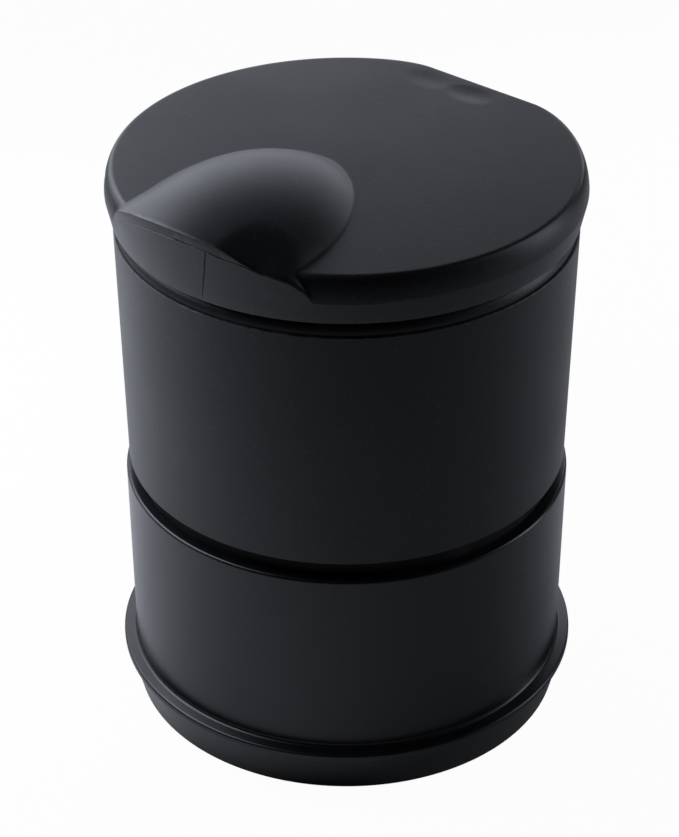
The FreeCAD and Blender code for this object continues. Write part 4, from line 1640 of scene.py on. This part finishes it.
    def knuckles(self, form: Form) -> None:
        """Adds the knuckles, their webs and the pad for the spring's leg.

        Args:
            form: form of the lid.
        """
        size = self.hinge
        front = size.axis_y - size.eye_radius
        web_low = size.axis_z + self.web_low
        web_top = self.inside + self.wall / 2.0
        tube = [Corner(size.eye_bore, 0.0, 0.1), Corner(size.eye_radius, 0.0, 0.25),
                Corner(size.eye_radius, size.knuckle_width, 0.25), Corner(size.eye_bore, size.knuckle_width, 0.1)]
        for start in size.knuckle_starts:
            form.turned(tube, Axis.X, (start, size.axis_y, size.axis_z), self.knuckle_segments, self.knuckle_steps)
            form.block((start, front, web_low), (start + size.knuckle_width, size.axis_y, web_top), self.web_edge)
        pad_low = size.axis_z + size.coil_radius + size.wire_radius + self.leg_gap
        pad_end = size.coil_start + size.coil_pitch * size.coil_turns
        pad_back = size.axis_y - self.pad_gap
        form.block((size.coil_start, front, pad_low), (pad_end, pad_back, web_top), self.web_edge)

    def bosses(self, form: Form) -> None:
        """Adds the bosses that carry the liner.

        Args:
            form: form of the lid.
        """
        height = self.inside + self.wall / 2.0 - self.boss_low
        tube = [Corner(self.boss_bore, 0.0, 0.1), Corner(self.boss_radius, 0.0, 0.2),
                Corner(self.boss_radius, height, 0.1), Corner(self.boss_bore, height, 0.1)]
        for x, y in self.boss_places:
            form.turned(tube, middle=(x, y, self.boss_low), segments=SMALL_SEGMENTS, steps=self.boss_steps)

    def build(self) -> None:
        """Builds the lid."""
        form = Form()
        self.shell(form)
        self.knuckles(form)
        self.bosses(form)
        # The lid's edges carry painted highlights.
        self.settle(with_painted_highlight(form.made("lid_shell"), self.painted_highlight), Slot.GRAINED, "lid")


@dataclass
class LidLining(SubAssembly):
    """Steel heat shield under the lid, and the slotted screws that hold it."""

    places: tuple[Point, ...]
    body: ClassVar[Body] = Body.LID
    radius: float = 30.4
    sheet: float = 0.6
    top: float = 90.7
    edge: float = 86.75
    bend: float = 1.2
    head_radius: float = 1.8
    head_height: float = 1.2
    head_rows: tuple[Point, ...] = ((0.25, 1.0), (0.07, 0.95), (0.0, 0.86))
    head_segments: int = 40
    head_steps: int = 3
    head_guard: float = 0.04
    slot_half: float = 0.25
    slot_depth: float = 0.6
    slot_rows: tuple[float, ...] = (0.5, 0.0, -0.5)
    half_middle: float = 0.4
    half_columns: int = 25
    shank_radius: float = 0.9
    shank: float = 2.4
    seed: int = 7

    def liner(self) -> None:
        """Builds the pressed liner with its turned-down rim."""
        under = self.top - self.sheet
        inner = self.radius - self.sheet
        form = Form().turned([
            Corner(0.0, under),
            Corner(inner, under, self.bend - self.sheet),
            Corner(inner, self.edge, 0.2),
            Corner(self.radius, self.edge, 0.2),
            Corner(self.radius, self.top, self.bend),
            Corner(0.0, self.top),
        ])
        self.settle(form.made("lid_liner_pressing"), Slot.BOWL_STEEL, "lid_liner")

    def screw(self) -> bpy.types.Object:
        """Builds one screw at the origin: head down, slot open below, shank up.

        Returns:
            The screw, without a finish.
        """
        plate = self.head_height - self.slot_depth
        shank_end = self.sheet + self.shank
        form = Form().turned([
            Corner(0.0, -plate), Corner(self.head_radius, -plate, 0.05), Corner(self.head_radius, 0.0, 0.1),
            Corner(self.shank_radius, 0.0, 0.1), Corner(self.shank_radius, shank_end, 0.3), Corner(0.0, shank_end),
        ], segments=self.head_segments, steps=self.head_steps, guard=self.head_guard)
        open_angle = math.asin(self.slot_half / self.head_radius)
        arc = np.linspace(open_angle, math.pi - open_angle, self.half_columns)
        rim = [(math.cos(angle) * self.head_radius, math.sin(angle) * self.head_radius) for angle in arc]
        loop = rim + [(rim[-1][0] * share, self.slot_half) for share in self.slot_rows]
        levels = [(-plate, 1.0)] + [(-self.head_height + rise, share) for rise, share in self.head_rows]
        for side in (-1.0, 1.0):
            middle = side * (self.slot_half + self.half_middle)
            columns = []
            for x, y in loop:
                column = [(x * share, side * max(self.slot_half, y * share), height) for height, share in levels]
                columns.append([(0.0, middle, -plate), *column, (0.0, middle, -self.head_height)])
            form.grid(np.array(columns), closed_rows=False)
        return form.made("liner_screw")

    def screws(self) -> None:
        """Sets a screw at each place in a node tree, each turned as it was driven."""
        screw = self.screw()
        weave = Weave("liner_screws")
        shape = weave.input("Screw", Entry.SHAPE, screw)
        most = weave.input("Most turn", Entry.NUMBER, math.pi)
        seed = weave.input("Seed", Entry.COUNT, self.seed)
        coat = weave.input("Finish", Entry.FINISH, self.finishes[Slot.BRIGHT_STEEL])
        info = weave.node("GeometryNodeObjectInfo", Object=shape)
        chance = weave.node("FunctionNodeRandomValue", Seed=seed)
        weave.put(typed(chance.inputs, "Max", "VALUE"), most)
        turn = weave.node("ShaderNodeCombineXYZ", Z=typed(chance.outputs, "Value", "VALUE"))
        spread = weave.node("GeometryNodeInstanceOnPoints", Points=weave.source.outputs["Geometry"],
                            Instance=info.outputs["Geometry"], Rotation=turn.outputs["Vector"])
        weave.close(spread.outputs["Instances"], coat)
        points = np.array([(x, y, self.top - self.sheet) for x, y in self.places]) * MM
        thing = weave.run("lid_screw_set", points, [])
        bpy.data.objects.remove(screw)
        self.settle(thing, Slot.BRIGHT_STEEL, "lid_screws")

    def build(self) -> None:
        """Builds both pieces."""
        self.liner()
        self.screws()


def bearing_vector(azimuth: float, elevation: float) -> Vector:
    """Gives the direction of length 1 to a bearing in degrees; azimuth 0 is towards -Y and 90 towards +X."""
    around, up = math.radians(azimuth), math.radians(elevation)
    return Vector((math.sin(around) * math.cos(up), -math.cos(around) * math.cos(up), math.sin(up)))


def facing(way: Vector) -> Euler:
    """Gives the turn of a lamp or camera that looks along a way."""
    return way.to_track_quat("-Z", "Y").to_euler()


@dataclass(frozen=True)
class SoftLamp:
    """Soft lamp that faces the object or a place beside it. Bearings are in degrees, lengths in metres."""

    name: str
    azimuth: float
    elevation: float
    distance: float
    width: float
    height: float
    power: float
    aim: Place = (0.0, 0.0, 0.0474)
    colour: Colour = (0.93, 0.98, 1.1)

    def build(self, target: Vector) -> None:
        """Adds the lamp to the scene.

        Args:
            target: place from which its distance counts.
        """
        lamp = bpy.data.lights.new(self.name, "AREA")
        lamp.shape = "RECTANGLE"
        lamp.size = self.width
        lamp.size_y = self.height
        lamp.energy = self.power
        lamp.color = self.colour
        thing = placed(self.name, lamp)
        thing.location = target + bearing_vector(self.azimuth, self.elevation) * self.distance
        thing.rotation_euler = facing(Vector(self.aim) - thing.location)
        thing.visible_camera = False


@dataclass
class Studio:
    """White table, soft lamps and the camera. Lengths are in metres."""

    azimuth: float = 40.0
    elevation: float = 32.68
    distance: float = 0.4506
    target: Place = (0.0, 0.0, 0.0474)
    lens: float = 120.43
    sensor: float = 36.0
    shift: float = -0.00858
    clip_start: float = 0.01
    table_radius: float = 1.5
    table_sides: int = 96
    table_colour: Colour = (0.86, 0.86, 0.86)
    table_rough: float = 0.9
    table_gloss: float = 0.1
    white_share: float = 0.97
    mirror_share: float = 0.02
    sky: Colour = (0.012, 0.012, 0.013)
    lamps: tuple[SoftLamp, ...] = (
        SoftLamp("back_panel", 236.0, 19.8, 0.2, 0.58, 0.114, 0.33),
        SoftLamp("left_window", -66.0, 38.0, 0.18, 0.16, 0.14, 0.275, aim=(-0.105, -0.045, 0.0)),
        SoftLamp("right_strip", 138.0, 15.0, 0.6, 0.16, 0.5, 0.78),
    )

    def table(self) -> None:
        """Adds the table, which shows white to the camera and a little in reflections, and keeps the shadow."""
        mesh = bpy.data.meshes.new("table")
        work = bmesh.new()
        bmesh.ops.create_circle(work, cap_ends=True, radius=self.table_radius, segments=self.table_sides)
        work.to_mesh(mesh)
        work.free()
        shader = Shader("white_table")
        shader.feed(
            shader.surface, Base_Color=(*self.table_colour, 1.0), Roughness=self.table_rough,
            Specular_IOR_Level=self.table_gloss,
        )
        path = shader.node("ShaderNodeLightPath")
        share = shader.joined(Join.PRODUCT, path.outputs["Is Camera Ray"], self.white_share)
        for name in ("Is Glossy Ray", "Is Transmission Ray"):
            mirrored = shader.joined(Join.PRODUCT, path.outputs[name], self.mirror_share)
            share = shader.joined(Join.LARGER, share, mirrored)
        white = shader.node("ShaderNodeEmission", Strength=1.0)
        shader.end_white("Material Output", share, shader.surface.outputs["BSDF"], white.outputs["Emission"])
        thing = placed("table", mesh)
        dress(thing, shader.material)

    def world(self) -> None:
        """Sets the dim room light, and white where the camera sees past the table."""
        world = bpy.data.worlds.new("room")
        bpy.context.scene.world = world
        world.use_nodes = True
        wiring = Wiring(world.node_tree)
        room = wiring.tree.nodes["Background"]
        wiring.feed(room, Color=(*self.sky, 1.0))
        white = wiring.node("ShaderNodeBackground", Color=(1.0, 1.0, 1.0, 1.0))
        seen = wiring.node("ShaderNodeLightPath").outputs["Is Camera Ray"]
        wiring.end_white("World Output", seen, room.outputs["Background"], white.outputs["Background"])

    def camera(self) -> None:
        """Sets the camera at the photograph's viewing angle."""
        data = bpy.data.cameras.new("camera")
        data.sensor_width = self.sensor
        data.lens = self.lens
        data.shift_x = self.shift
        data.clip_start = self.clip_start
        data.dof.use_dof = False
        thing = placed("camera", data)
        away = bearing_vector(self.azimuth, self.elevation)
        thing.location = Vector(self.target) + away * self.distance
        thing.rotation_euler = facing(-away)
        bpy.context.scene.camera = thing

    def build(self) -> None:
        """Sets up table, light and camera."""
        bpy.context.scene.view_settings.view_transform = "Standard"
        self.table()
        self.world()
        for lamp in self.lamps:
            lamp.build(Vector(self.target))
        self.camera()


def main() -> None:
    """Builds the ashtray's sub-assemblies in order, then the studio."""
    logging.basicConfig(level=logging.INFO, format="%(name)s: %(message)s")
    finishes = {slot: finish.material(slot.value) for slot, finish in FINISHES.items()}
    hinge = HingeSizes()
    lid = Lid(finishes, hinge)
    LowerCup(finishes).build()
    AshUnit(finishes, hinge).build()
    BowlSet(finishes).build()
    Hinge(finishes, hinge).build()
    lid.build()
    LidLining(finishes, lid.boss_places).build()
    Studio().build()


if __name__ == "__main__":
    main()
